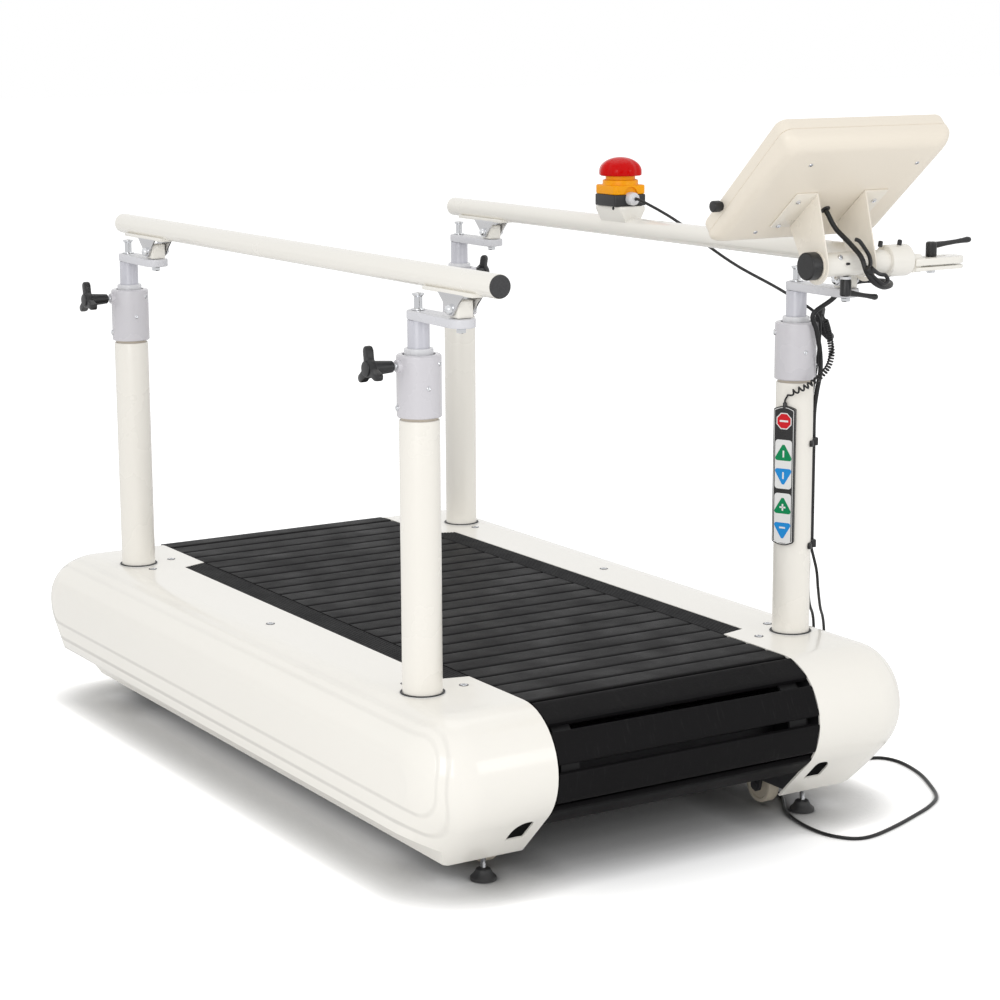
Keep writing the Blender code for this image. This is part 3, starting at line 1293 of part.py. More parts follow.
# Assembly
def stand_on_floor_centre(root, cords):
    """Shift the root so that the origin is the centre of the underside, cords left out."""
    bpy.context.view_layer.update()
    low = Vector((1e9, 1e9, 1e9))
    high = -low
    for item in bpy.data.objects:
        if item.type != "MESH" or item in cords:
            continue
        for corner in item.data.vertices:
            place = item.matrix_world @ corner.co
            low = Vector(map(min, low, place))
            high = Vector(map(max, high, place))
    root.location = (-(low.x + high.x) / 2, -(low.y + high.y) / 2, -low.z)
    bpy.context.view_layer.update()
    return root.location


def build():
    for item in list(bpy.data.objects):
        bpy.data.objects.remove(item)
    cream = paint("cream_paint", (0.93, 0.90, 0.84), 0.35)
    rail_paint = paint("rail_paint", (0.92, 0.89, 0.83), 0.30)
    grey = paint("grey_paint", (0.62, 0.62, 0.66), 0.35, 0.2)
    steel = paint("steel", (0.55, 0.55, 0.56), 0.30, 1.0)
    dark_frame = paint("frame_paint", (0.12, 0.12, 0.13), 0.5)
    slat = paint("slat_rubber", (0.040, 0.038, 0.042), 0.55)
    black = paint("black_plastic", (0.02, 0.02, 0.022), 0.40)
    rubber = paint("black_rubber", (0.015, 0.015, 0.016), 0.65)
    beige = paint("wheel_beige", (0.72, 0.60, 0.42), 0.45)
    yellow = paint("stop_yellow", (0.85, 0.50, 0.03), 0.40)
    red = paint("stop_red", (0.70, 0.03, 0.02), 0.30)
    shell_paint = paint("display_cream", (0.90, 0.86, 0.76), 0.40)

    root = bpy.data.objects.new("treadmill", None)
    bpy.context.scene.collection.objects.link(root)
    root["place"] = (0.0, 0.0, 0.0)

    for name, flip in (("right", False), ("left", True)):
        def handed(shape):
            return mirrored(shape) if flip else shape
        side = -1 if flip else 1
        part(f"side_frame_{name}", handed(side_frame()), dark_frame, root)
        part(f"side_cover_{name}", handed(side_cover()), cream, root)
        strip = prism("Z", strip_outline(0.0, 0.0), DECK_TOP - COVER_WALL, DECK_TOP)
        part(f"tread_strip_{name}", handed(strip), rubber, root)
        axle = (side * (FRAME_WEB_X + FRAME_WALL + WHEEL_WIDTH / 2), WHEEL_Y, WHEEL_BOTTOM_Z + WHEEL_R)
        part(f"transport_wheel_{name}", handed(transport_wheel()), beige, root, axle)

    part("crossmember_front", crossmember(-CROSS_Y), dark_frame, root)
    part("crossmember_rear", crossmember(CROSS_Y), dark_frame, root)
    part("slat_belt", slat_belt(), slat, root)
    part("front_drum", drum(-DRUM_Y, True), steel, root, (0, -DRUM_Y, DRUM_Z))
    part("rear_drum", drum(DRUM_Y, False), steel, root, (0, DRUM_Y, DRUM_Z))
    part("drive_motor", drive_motor(), dark_frame, root)
    part("motor_pulley", motor_pulley(), steel, root, (0, MOTOR_Y, DRUM_Z))
    part("drive_belt", drive_belt(), rubber, root)

    rails = {}
    for end, post_y in (("front", -POST_Y), ("rear", POST_Y)):
        for name, side in (("left", -1), ("right", 1)):
            spot = (side * POST_X, post_y, 0.0)
            shift = Matrix.Translation(spot)
            knob_turn = 180.0 if side < 0 else KNOB_TURN_RIGHT
            upright = post()
            if end == "front" and side > 0:
                upright = join(upright, *[cable_clip(z) for z in CLIP_Z])
            part(f"post_{end}_{name}", turn(upright, shift), cream, root, spot)
            part(f"collar_{end}_{name}", turn(collar(knob_turn), shift), grey, root, spot)
            spin = Matrix.Rotation(math.radians(knob_turn), 4, "Z")
            knob_place = (spot[0], spot[1], KNOB_Z)
            knob = turn(clamp_knob(), shift @ spin)
            part(f"clamp_knob_{end}_{name}", knob, black, root, knob_place)
            tube = part(f"inner_tube_{end}_{name}", turn(inner_tube(), shift), grey, root, spot)
            bar = part(f"link_{end}_{name}", turn(link(), shift), grey, tube, spot)
            rails[end + name] = bar
            place = (side * FOOT_X, math.copysign(FOOT_Y, post_y), 0.0)
            part(f"foot_{end}_{name}", turn(foot(), Matrix.Translation(place)), rubber, root, place)

    outer_y = POST_Y - LINK_LENGTH
    left_place = (-POST_X, outer_y, 0.0)
    right_place = (POST_X, outer_y, 0.0)
    left = part(
        "handrail_left", turn(left_rail(), Matrix.Translation((-POST_X, 0, 0))), rail_paint,
        rails["rearleft"], left_place)
    part("rail_plug_left", turn(rail_plug(), Matrix.Translation((-POST_X, 0, 0))), black, left)
    right = part(
        "handrail_right", turn(right_rail(), Matrix.Translation((POST_X, 0, 0))), rail_paint,
        rails["rearright"], right_place)

    stop_shift = Matrix.Translation((POST_X, STOP_Y, 0))
    part("estop_enclosure", turn(stop_enclosure(), stop_shift), black, right)
    part("estop_lid", turn(stop_lid(), stop_shift), yellow, right)
    part("estop_button", turn(stop_button(), stop_shift), red, right, (POST_X, STOP_Y, SADDLE_TOP_Z))

    part("crossbar", crossbar(), shell_paint, right)
    part("crossbar_cap", crossbar_cap(), black, right)
    lever_place = (TILT_LEVER_X, BAR_Y, BAR_Z - BAR_R)
    lever = turn(tilt_lever(), Matrix.Translation((TILT_LEVER_X, BAR_Y, 0)))
    part("tilt_lever", lever, black, right, lever_place)
    part("side_arm", side_arm(), shell_paint, right)
    lever = turn(arm_lever(), Matrix.Translation((ARM_LEVER_X, BAR_Y, 0)))
    part("arm_lever", lever, black, right, (ARM_LEVER_X, BAR_Y, ARM_TOP_Z))

    axis = (DISPLAY_X, BAR_Y, BAR_Z)
    tilt = (math.radians(DISPLAY_TILT), 0.0, math.pi)
    hinge = pivot("display_tilt_axis", right, axis)
    part("display_bracket", display_bracket(), shell_paint, hinge, axis, tilt)
    part("display_shell", display_shell(), shell_paint, hinge, axis, tilt)
    part("display_front", display_front(), shell_paint, hinge, axis, tilt)

    corner = Matrix.Translation((POST_X, -POST_Y, 0))
    part("keypad_panel", turn(keypad_panel(), corner), black, root, (POST_X, -POST_Y, KEYPAD_BOTTOM_Z))
    tube_curve("display_cable", smooth_route(display_route(), 0.026), DISPLAY_CABLE_R, black, root)
    tube_curve("estop_cable", smooth_route(stop_route(), 0.0205), STOP_CABLE_R, black, root)
    lie = [Vector((p.x, p.y, max(p.z, FLOOR_CORD_R + GAP))) for p in smooth_route(floor_route(), 0.021)]
    cord = tube_curve("floor_cord", lie, FLOOR_CORD_R, black, root)
    tube_curve("keypad_cord", curly_cord(), CURL_TUBE_R, black, root, 1)
    return stand_on_floor_centre(root, [cord])


print("root shifted by", tuple(build()))
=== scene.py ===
import math

import bmesh
import bpy
from mathutils import Matrix, Vector


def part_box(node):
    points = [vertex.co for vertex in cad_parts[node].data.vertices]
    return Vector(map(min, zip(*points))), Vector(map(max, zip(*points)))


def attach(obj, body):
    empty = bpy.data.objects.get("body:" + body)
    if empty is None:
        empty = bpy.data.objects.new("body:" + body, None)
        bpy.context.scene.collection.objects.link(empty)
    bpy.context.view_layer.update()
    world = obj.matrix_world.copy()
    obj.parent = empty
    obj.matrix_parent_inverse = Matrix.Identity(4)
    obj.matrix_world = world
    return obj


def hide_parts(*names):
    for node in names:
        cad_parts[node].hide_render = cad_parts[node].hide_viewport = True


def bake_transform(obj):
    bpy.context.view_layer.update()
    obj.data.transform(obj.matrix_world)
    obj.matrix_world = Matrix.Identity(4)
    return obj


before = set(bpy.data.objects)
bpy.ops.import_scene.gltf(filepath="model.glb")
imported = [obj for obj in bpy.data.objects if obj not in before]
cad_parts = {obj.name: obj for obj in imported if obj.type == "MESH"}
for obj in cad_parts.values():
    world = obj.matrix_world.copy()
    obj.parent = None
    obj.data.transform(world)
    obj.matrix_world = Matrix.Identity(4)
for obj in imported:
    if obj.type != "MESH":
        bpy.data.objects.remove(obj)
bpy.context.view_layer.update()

# Studio: the camera stands where the photograph was taken from, over a plain pale floor.
# Broad soft lamps and an even pale world light the machine at a plain level.
CAMERA_PLACE = (-2.4872, -4.1300, 1.4563)
CAMERA_HEADING = 31.64
CAMERA_PITCH = 11.11
CAMERA_ROLL = -0.285
FOCAL_PIXELS = 2459.8
PICTURE_PIXELS = 1000
SENSOR = 36.0
WORLD_LEVEL = 0.84
FLOOR_REACH = 40.0
FLOOR_SEEN = 1.45
SHADE_REACH = 0.12
SHADE_DEPTH = 1.6


def shown(name, data):
    """Put a mesh, a lamp or a camera into the scene."""
    item = bpy.data.objects.new(name, data)
    bpy.context.scene.collection.objects.link(item)
    return item


def turn_about(axis, degrees):
    """Give a rotation about one axis."""
    return Matrix.Rotation(math.radians(degrees), 4, axis)


def wire(tree, target, inputs):
    """Set a node's inputs, by name or number, to plain values or to other nodes' outputs."""
    for key, value in inputs.items():
        if isinstance(value, bpy.types.NodeSocket):
            tree.links.new(value, target.inputs[key])
        else:
            target.inputs[key].default_value = value


def node(tree, kind, inputs=(), **settings):
    """Add a node to a tree, with its settings and its inputs."""
    made = tree.nodes.new(kind)
    for key, value in settings.items():
        setattr(made, key, value)
    wire(tree, made, dict(inputs))
    return made


camera_data = bpy.data.cameras.new("camera")
camera_data.sensor_width = SENSOR
camera_data.lens = SENSOR * FOCAL_PIXELS / PICTURE_PIXELS
camera = shown("camera", camera_data)
camera.matrix_world = (
    Matrix.Translation(CAMERA_PLACE)
    @ turn_about("Z", -CAMERA_HEADING)
    @ turn_about("X", 90 - CAMERA_PITCH)
    @ turn_about("Z", CAMERA_ROLL)
)
bpy.context.scene.camera = camera
bpy.context.scene.view_settings.view_transform = "Standard"


def soft_lamp(name, place, target, size, power):
    """Hang a square soft box that looks at a target."""
    data = bpy.data.lights.new(name, "AREA")
    data.shape = "SQUARE"
    data.size = size
    data.energy = power
    aim = (Vector(target) - Vector(place)).to_track_quat("-Z", "Y")
    shown(name, data).matrix_world = Matrix.Translation(place) @ aim.to_matrix().to_4x4()


soft_lamp("key_box", (-3.6, -3.4, 2.2), (0, 0, 0.5), 2.4, 46)
soft_lamp("front_box", (1.6, -4.6, 1.9), (0, 0, 0.5), 1.6, 15)
soft_lamp("top_box", (0.6, 0.8, 3.6), (0, 0, 0.4), 1.8, 7)

world = bpy.data.worlds.new("pale_room")
bpy.context.scene.world = world
world.use_nodes = True
tree = world.node_tree
rays = node(tree, "ShaderNodeLightPath").outputs
seen = node(tree, "ShaderNodeMath", {0: rays["Is Camera Ray"], 1: rays["Is Glossy Ray"]}, operation="MAXIMUM")
level = node(tree, "ShaderNodeMapRange", {"Value": seen.outputs[0], "To Min": WORLD_LEVEL, "To Max": 1.0})
wire(tree, tree.nodes["Background"], {"Color": (1.0, 1.0, 1.0, 1.0), "Strength": level.outputs[0]})

floor_mesh = bpy.data.meshes.new("floor")
corners = [(x * FLOOR_REACH, y * FLOOR_REACH, 0) for x, y in ((-1, -1), (1, -1), (1, 1), (-1, 1))]
floor_mesh.from_pydata(corners, [], [(0, 1, 2, 3)])
floor = shown("floor", floor_mesh)
pale_floor = bpy.data.materials.new("pale_floor")
pale_floor.use_nodes = True
tree = pale_floor.node_tree
matt = tree.nodes["Principled BSDF"]
wire(tree, matt, {"Base Color": (0.95, 0.95, 0.95, 1.0), "Specular IOR Level": 0.0, "Roughness": 0.9})
# Camera rays see the floor darkened by ambient occlusion close to the machine: painted shade that deepens its
# contact shadow.
near = node(tree, "ShaderNodeAmbientOcclusion", {"Distance": SHADE_REACH})
deepen = node(tree, "ShaderNodeMath", {0: near.outputs["AO"], 1: SHADE_DEPTH}, operation="POWER")
lift = node(tree, "ShaderNodeMath", {0: deepen.outputs[0], 1: FLOOR_SEEN}, operation="MULTIPLY")
seen_floor = node(tree, "ShaderNodeBsdfDiffuse", {"Color": lift.outputs[0]})
rays = node(tree, "ShaderNodeLightPath").outputs
pick = node(tree, "ShaderNodeMixShader", {0: rays["Is Camera Ray"], 1: matt.outputs[0],
                                          2: seen_floor.outputs[0]})
wire(tree, tree.nodes["Material Output"], {"Surface": pick.outputs[0]})
floor_mesh.materials.append(pale_floor)


# Side frames, crossmembers and drive motor: folded and welded steel under dark satin paint.
# They stand behind the covers and inside the belt, so the solids stay and only get their finish.
right_low, right_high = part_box("side_cover_right")
left_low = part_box("side_cover_left")[0]
MIDDLE = Vector(((left_low[0] + right_high[0]) / 2, (right_low[1] + right_high[1]) / 2, 0.0))


def finish(name, slot, colour, roughness, metallic=0.0, mottle=0.04, mottle_scale=9.0,
           grain=0.0004, grain_scale=900.0, rough_spread=0.06, coat=0.0, shine=0.5):
    """Mix a surface: uneven colour, uneven polish and a fine grain, all on the piece's own coordinates."""
    material = bpy.data.materials.new(name)
    material["slot"] = slot
    material.use_nodes = True
    material.diffuse_color = (*colour, 1.0)
    tree = material.node_tree
    place = node(tree, "ShaderNodeTexCoord").outputs["Object"]
    cloud = node(tree, "ShaderNodeTexNoise", {"Vector": place, "Scale": mottle_scale, "Detail": 5.0})
    darker = (*[c * (1 - mottle) for c in colour], 1.0)
    paler = (*[min(1.0, c * (1 + mottle)) for c in colour], 1.0)
    tint = node(tree, "ShaderNodeMix", {0: cloud.outputs["Fac"], 6: darker, 7: paler}, data_type="RGBA")
    polish = node(tree, "ShaderNodeMapRange", {
        "Value": cloud.outputs["Fac"], "From Min": 0.3, "From Max": 0.7,
        "To Min": max(0.03, roughness - rough_spread), "To Max": min(1.0, roughness + rough_spread)})
    fine = node(tree, "ShaderNodeTexNoise", {"Vector": place, "Scale": grain_scale, "Detail": 3.0})
    bump = node(tree, "ShaderNodeBump", {"Height": fine.outputs["Fac"], "Strength": 0.6, "Distance": grain})
    wire(tree, tree.nodes["Principled BSDF"], {
        "Base Color": tint.outputs[2], "Roughness": polish.outputs[0], "Normal": bump.outputs[0],
        "Metallic": metallic, "Coat Weight": coat, "Specular IOR Level": shine})
    return material


def dress(material, *names):
    """Give CAD nodes their finish."""
    for name in names:
        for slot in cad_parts[name].material_slots:
            slot.material = material


frame_paint = finish("frame_paint", "frame_paint", (0.035, 0.035, 0.038), 0.45, grain=0.0003)
dress(frame_paint, "side_frame_left", "side_frame_right", "crossmember_front", "crossmember_rear",
      "drive_motor")


# Drums, motor pulley and drive belt: turned steel wheels that carry the belt, driven by a flat rubber belt.
# Only slivers show between the slats, so the solids stay as they are. Their steel is darkened to near black:
# painted shade for those slivers.
turned_steel_painted_shade = finish("turned_steel_painted_shade", "steel", (0.055, 0.055, 0.058), 0.45, 1.0, grain=0.0001)
belt_rubber = finish("belt_rubber", "black_rubber", (0.014, 0.014, 0.015), 0.7, grain=0.0003)
dress(turned_steel_painted_shade, "front_drum", "rear_drum", "motor_pulley")
dress(belt_rubber, "drive_belt")


# Slat belt: sixty rubber-covered T slats, screwed at each end to two toothed carrier belts.
# The treads lie level with the deck and open like a fan where they turn round the drums.
SLAT_COUNT = 60
DRUM_Y = 0.740
DRUM_Z = 0.205
DECK_TOP = 0.315
SLAT_GAP = 0.0028
SLAT_HALF_LENGTH = 0.277
TREAD_THICK = 0.010
SLAT_RECESS = 0.0005
WEB_THICK = 0.008
WEB_HALF_LENGTH = 0.255
WEB_DEPTH = 0.0107
FIRST_SLAT = 0.0177
CARRIER_X = 0.2435
CARRIER_WIDTH = 0.037
CARRIER_THICK = 0.006
CARRIER_STEPS = 48
PITCH_R = DECK_TOP - SLAT_RECESS - TREAD_THICK - WEB_DEPTH - DRUM_Z
TREAD_EDGE = [(0.0, 0.0024), (0.0012, 0.0012), (0.0040, 0.0003), (0.0100, 0.0)]
SLAT_SCREW_R = 0.0038
SMOOTH_ANGLE = 32


def arc(centre, radius, start, end, steps):
    """List points on an arc given in degrees, both ends included."""
    turn = [math.radians(start + (end - start) * i / steps) for i in range(steps + 1)]
    return [(centre[0] + radius * math.cos(a), centre[1] + radius * math.sin(a)) for a in turn]


def spokes(count, phase=0.0):
    """List evenly spread directions round a circle as (cosine, sine)."""
    turns = [2 * math.pi * i / count + phase for i in range(count)]
    return [(math.cos(a), math.sin(a)) for a in turns]


def loft(rings):
    """Join equal rings of points into a closed shape."""
    shape = bmesh.new()
    rows = [[shape.verts.new(point) for point in ring] for ring in rings]
    for low, high in zip(rows, rows[1:]):
        for i in range(len(low)):
            j = (i + 1) % len(low)
            shape.faces.new((low[i], low[j], high[j], high[i]))
    shape.faces.new(rows[0])
    shape.faces.new(rows[-1])
    bmesh.ops.recalc_face_normals(shape, faces=shape.faces)
    return shape


def prism(axis, outline, start, end):
    """Extrude a flat outline along X, Y or Z. Outlines hold the other two coordinates in order."""
    spot = "XYZ".index(axis)
    return loft([[(*point[:spot], level, *point[spot:]) for point in outline] for level in (start, end)])


def block(x0, x1, y0, y1, z0, z1):
    """Make a plain box between two corners."""
    return prism("Z", [(x0, y0), (x1, y0), (x1, y1), (x0, y1)], z0, z1)


def as_mesh(shape, name, smooth=None):
    """Turn a shape into a mesh, shaded smooth apart from edges sharper than an angle when one is given."""
    mesh = bpy.data.meshes.new(name)
    shape.to_mesh(mesh)
    shape.free()
    if smooth:
        mesh.shade_smooth()
        mesh.set_sharp_from_angle(angle=math.radians(smooth))
    return mesh


def gather(*shapes):
    """Put several separate shapes into one mesh."""
    whole = bmesh.new()
    for shape in shapes:
        mesh = as_mesh(shape, "gather")
        whole.from_mesh(mesh)
        bpy.data.meshes.remove(mesh)
    return whole


def moved(shape, matrix):
    """Move or turn a whole shape."""
    shape.transform(matrix)
    return shape


def shifted(shape, x, y, z=0.0):
    """Move a whole shape along the axes."""
    return moved(shape, Matrix.Translation((x, y, z)))


def settled(*items):
    """Give the first object's mesh with its modifiers applied, and clear the objects away."""
    graph = bpy.context.evaluated_depsgraph_get()
    mesh = bpy.data.meshes.new_from_object(items[0].evaluated_get(graph))
    for item in items:
        old = item.data
        bpy.data.objects.remove(item)
        bpy.data.meshes.remove(old)
    return mesh


def rounded(shape, width, steps=2, angle=30):
    """Round the edges that are sharper than an angle."""
    bmesh.ops.remove_doubles(shape, verts=shape.verts, dist=1e-6)
    shape.normal_update()
    limit = math.radians(angle)
    sharp = [e for e in shape.edges if len(e.link_faces) == 2 and e.calc_face_angle(0.0) > limit]
    bmesh.ops.bevel(
        shape, geom=sharp, offset=width, offset_type="OFFSET", segments=steps, profile=0.5,
        affect="EDGES", clamp_overlap=True)
    return shape


def belongs(item, body, stands_for):
    """Let a finished piece ride on its body and hide the CAD nodes that it stands for."""
    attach(item, body)
    if stands_for:
        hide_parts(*stands_for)


def piece(name, shape, material, body, stands_for=(), smooth=SMOOTH_ANGLE):
    """Make a shape a finished piece of the machine: placed, shaded, coated and riding on its body."""
    mesh = as_mesh(shifted(shape, *MIDDLE), name, smooth)
    mesh.materials.append(material)
    belongs(shown(name, mesh), body, stands_for)


def laying_tree():
    """Build the node tree that lays copies of one pattern at places that face and run given ways."""
    tree = bpy.data.node_groups.new("lay_pieces", "GeometryNodeTree")
    tree.is_modifier = True
    for name, kind in (("Places", "Geometry"), ("Pattern", "Object"), ("Finish", "Material")):
        tree.interface.new_socket(name, in_out="INPUT", socket_type="NodeSocket" + kind)
    tree.interface.new_socket("Pieces", in_out="OUTPUT", socket_type="NodeSocketGeometry")
    given = node(tree, "NodeGroupInput").outputs
    facing, along = [
        node(tree, "GeometryNodeInputNamedAttribute", {"Name": name}, data_type="FLOAT_VECTOR").outputs[0]
        for name in ("facing", "along")]
    turn = node(tree, "FunctionNodeAxesToRotation", {"Primary Axis": facing, "Secondary Axis": along},
                primary_axis="Z", secondary_axis="X")
    pattern = node(tree, "GeometryNodeObjectInfo", {"Object": given["Pattern"]})
    copies = node(tree, "GeometryNodeInstanceOnPoints", {
        "Points": given["Places"], "Instance": pattern.outputs["Geometry"],
        "Rotation": turn.outputs["Rotation"]})
    real = node(tree, "GeometryNodeRealizeInstances", {"Geometry": copies.outputs["Instances"]})
    coat = node(tree, "GeometryNodeSetMaterial", {"Geometry": real.outputs["Geometry"],
                                                  "Material": given["Finish"]})
    node(tree, "NodeGroupOutput", {"Pieces": coat.outputs["Geometry"]})
    return tree


lay_pieces = laying_tree()


def lay(name, pattern, places, material, body, stands_for=()):
    """Lay copies of a pattern (Z outwards) at places given as point, facing and running direction."""
    pattern_item = shown("pattern", as_mesh(pattern, "pattern", SMOOTH_ANGLE))
    mesh = bpy.data.meshes.new("places")
    mesh.from_pydata([Vector(point) + MIDDLE for point, facing, along in places], [], [])
    for index, key in ((1, "facing"), (2, "along")):
        values = mesh.attributes.new(key, "FLOAT_VECTOR", "POINT")
        for i, place in enumerate(places):
            values.data[i].vector = place[index]
    holder = shown("places", mesh)
    step = holder.modifiers.new("lay", "NODES")
    step.node_group = lay_pieces
    sockets = {s.name: s.identifier for s in lay_pieces.interface.items_tree if s.in_out == "INPUT"}
    step[sockets["Pattern"]] = pattern_item
    step[sockets["Finish"]] = material
    result = settled(holder, pattern_item)
    result.name = name
    for attribute in ("facing", "along"):
        if attribute in result.attributes:
            result.attributes.remove(result.attributes[attribute])
    belongs(shown(name, result), body, stands_for)


def belt_point(distance):
    """Give the point and outward angle on the pitch line, from the top of the front drum."""
    straight = 2 * DRUM_Y
    bend = math.pi * PITCH_R
    distance %= 2 * (straight + bend)
    if distance < straight:
        return (-DRUM_Y + distance, DRUM_Z + PITCH_R), math.pi / 2
    distance -= straight
    if distance < bend:
        angle = math.pi / 2 - distance / PITCH_R
        return (DRUM_Y + PITCH_R * math.cos(angle), DRUM_Z + PITCH_R * math.sin(angle)), angle
    distance -= bend
    if distance < straight:
        return (DRUM_Y - distance, DRUM_Z - PITCH_R), -math.pi / 2
    angle = -math.pi / 2 - (distance - straight) / PITCH_R
    return (-DRUM_Y + PITCH_R * math.cos(angle), DRUM_Z + PITCH_R * math.sin(angle)), angle


def head_recess(kind, angle, reach):
    """Give the radius of a hexagon or a cross recess at an angle."""
    if kind == "hexagon":
        return reach / math.cos((angle % (math.pi / 3)) - math.pi / 6)
    c = abs(math.cos(angle)) + 1e-9
    s = abs(math.sin(angle)) + 1e-9
    arm = reach * 0.28
    return max(min(reach / c, arm / s), min(arm / c, reach / s))


def screw_head(radius, height, kind="cross", dome=0.5, steps=24):
    """Turn a screw head with a recess in its face. Its underside lies at Z 0."""
    recess = radius * (0.62 if kind == "cross" else 0.46)
    rings = []
    for reach, z, recessed in ((radius, 0.0, False), (radius, height * (1 - dome), False),
                               (radius * 0.90, height - 0.25 * height * dome, False),
                               (radius * 0.74, height, False), (recess, height, True),
                               (recess * 0.9, height * 0.45, True)):
        ring = []
        for i, (c, s) in enumerate(spokes(steps)):
            r = head_recess(kind, 2 * math.pi * i / steps, reach) if recessed else reach
            ring.append((r * c, r * s, z))
        rings.append(ring)
    return loft(rings)


def tread_rubber():
    """Mix the slats' rubber: charcoal, with fine pimples and faint pale scuffs that run along the belt."""
    material = finish(
        "tread_rubber", "slat_rubber", (0.0075, 0.0072, 0.0077), 0.50, mottle=0.25, mottle_scale=14.0,
        grain=0.0008, grain_scale=420.0, rough_spread=0.08, shine=0.06)
    tree = material.node_tree
    shader = tree.nodes["Principled BSDF"]
    base = shader.inputs["Base Color"].links[0].from_socket
    place = node(tree, "ShaderNodeTexCoord").outputs["Object"]
    slide = node(tree, "ShaderNodeMapping", {"Vector": place, "Scale": (90.0, 9.0, 9.0)})
    specks = node(tree, "ShaderNodeTexNoise", {"Vector": slide.outputs[0], "Scale": 3.0, "Detail": 6.0})
    ramp = node(tree, "ShaderNodeMapRange", {
        "Value": specks.outputs["Fac"], "From Min": 0.60, "From Max": 0.80, "To Max": 0.35})
    scuff = node(tree, "ShaderNodeMix", {0: ramp.outputs[0], 6: base, 7: (0.035, 0.034, 0.035, 1.0)},
                 data_type="RGBA")
    wire(tree, shader, {"Base Color": scuff.outputs[2]})
    return material


slat_rubber = tread_rubber()
zinc = finish("zinc", "steel", (0.62, 0.63, 0.65), 0.22, 1.0, grain=0.00005)
belt_length = 4 * DRUM_Y + 2 * math.pi * PITCH_R
pitch = belt_length / SLAT_COUNT
slat_places = []
screw_places = []
for index in range(SLAT_COUNT):
    (y, z), angle = belt_point(FIRST_SLAT + index * pitch)
    outward = Vector((0, math.cos(angle), math.sin(angle)))
    slat_places.append(((0, y, z), outward, (1, 0, 0)))
    for side in (-1, 1):
        centre = Vector((side * CARRIER_X, y, z)) - outward * (CARRIER_THICK / 2)
        screw_places.append((centre, -outward, (1, 0, 0)))

tread_half = (pitch - SLAT_GAP) / 2
tread_top = WEB_DEPTH + TREAD_THICK
tread_side = [(tread_half, WEB_DEPTH)]
tread_side += [(tread_half - inset, tread_top - drop) for inset, drop in TREAD_EDGE]
tread_outline = tread_side + [(-a, b) for a, b in reversed(tread_side)]
tread = prism("X", tread_outline, -SLAT_HALF_LENGTH, SLAT_HALF_LENGTH)
web = block(-WEB_HALF_LENGTH, WEB_HALF_LENGTH, -WEB_THICK / 2, WEB_THICK / 2, CARRIER_THICK / 2,
            WEB_DEPTH + 0.001)
lay("slats", gather(tread, web), slat_places, slat_rubber, "base", ["slat_belt"])
lay("slat_screws", screw_head(SLAT_SCREW_R, 0.0016), screw_places, zinc, "base")


def belt_band(outer_offset, inner_offset, x0, x1):
    """Run a flat belt round both drums between two offsets from the pitch line."""
    loops = []
    for offset in (outer_offset, inner_offset):
        radius = PITCH_R + offset
        far = arc((DRUM_Y, DRUM_Z), radius, 90, -90, CARRIER_STEPS)
        near = arc((-DRUM_Y, DRUM_Z), radius, -90, -270, CARRIER_STEPS)
        loops.append(far + near)
    shape = bmesh.new()
    rows = [[shape.verts.new((x, y, z)) for y, z in loop] for loop in loops for x in (x0, x1)]
    count = len(loops[0])
    for i in range(count):
        j = (i + 1) % count
        for first, second in ((0, 1), (1, 3), (3, 2), (2, 0)):
            shape.faces.new((rows[first][i], rows[first][j], rows[second][j], rows[second][i]))
    bmesh.ops.recalc_face_normals(shape, faces=shape.faces)
    return shape


carriers = []
for side in (-1, 1):
    edges = sorted((side * (CARRIER_X - CARRIER_WIDTH / 2), side * (CARRIER_X + CARRIER_WIDTH / 2)))
    carriers.append(belt_band(CARRIER_THICK / 2, -CARRIER_THICK / 2 + 0.0016, *edges))
piece("carrier_belts", gather(*carriers), belt_rubber, "base", ["slat_belt"])


# Side covers: vacuum-formed cream shells over the side frames, with a raised side panel and round ends.
# They are glossy, open underneath, and screwed down through the deck with cross-head screws.
COVER_HALF_LENGTH = 0.850
COVER_END_RADIUS = 0.110
COVER_INNER_X = 0.2795
COVER_FLARE_X = 0.438
COVER_WALL_X = 0.515
PANEL_RAISE = 0.005
PANEL_BORDER = 0.014
PANEL_SLOPE = 0.012
SKIRT_X = 0.458
SKIRT_STEEP = 1.9
SKIRT_SHALLOW = 0.5
REAR_FILLET = 0.035
COVER_BOTTOM_Z = 0.045
COVER_WALL = 0.004
PLAN_FILLET = 0.100
TOP_FILLET = 0.080
POST_X = 0.401
POST_Y = 0.607
POST_R = 0.035
STRIP_INNER_X = 0.280
STRIP_OUTER_X = 0.333
STRIP_FRONT_Y = -0.560
STRIP_REAR_Y = 0.540
STRIP_FRONT_SLANT = 0.013
STRIP_REAR_SLANT = 0.020
SLOT_INSET_X = 0.0245
SLOT_WIDTH = 0.036
SLOT_HEIGHT = 0.040
END_STEPS = 18
GAP = 0.0003
CUT_REACH = 0.02
DIAGONAL = math.sqrt(0.5)
CHAMFER_CORNER = Vector((0, -(COVER_HALF_LENGTH - COVER_END_RADIUS * (1 - DIAGONAL)),
                         DECK_TOP - COVER_END_RADIUS * (1 + DIAGONAL)))
CHAMFER_OUT = Vector((0, -DIAGONAL, -DIAGONAL))
SIDES = (("left", -1), ("right", 1))


def mirrored(shape, side):
    """Mirror a right-hand shape to the left when asked."""
    if side > 0:
        return shape
    shape.transform(Matrix.Scale(-1, 4, (1, 0, 0)))
    bmesh.ops.reverse_faces(shape, faces=shape.faces)
    return shape


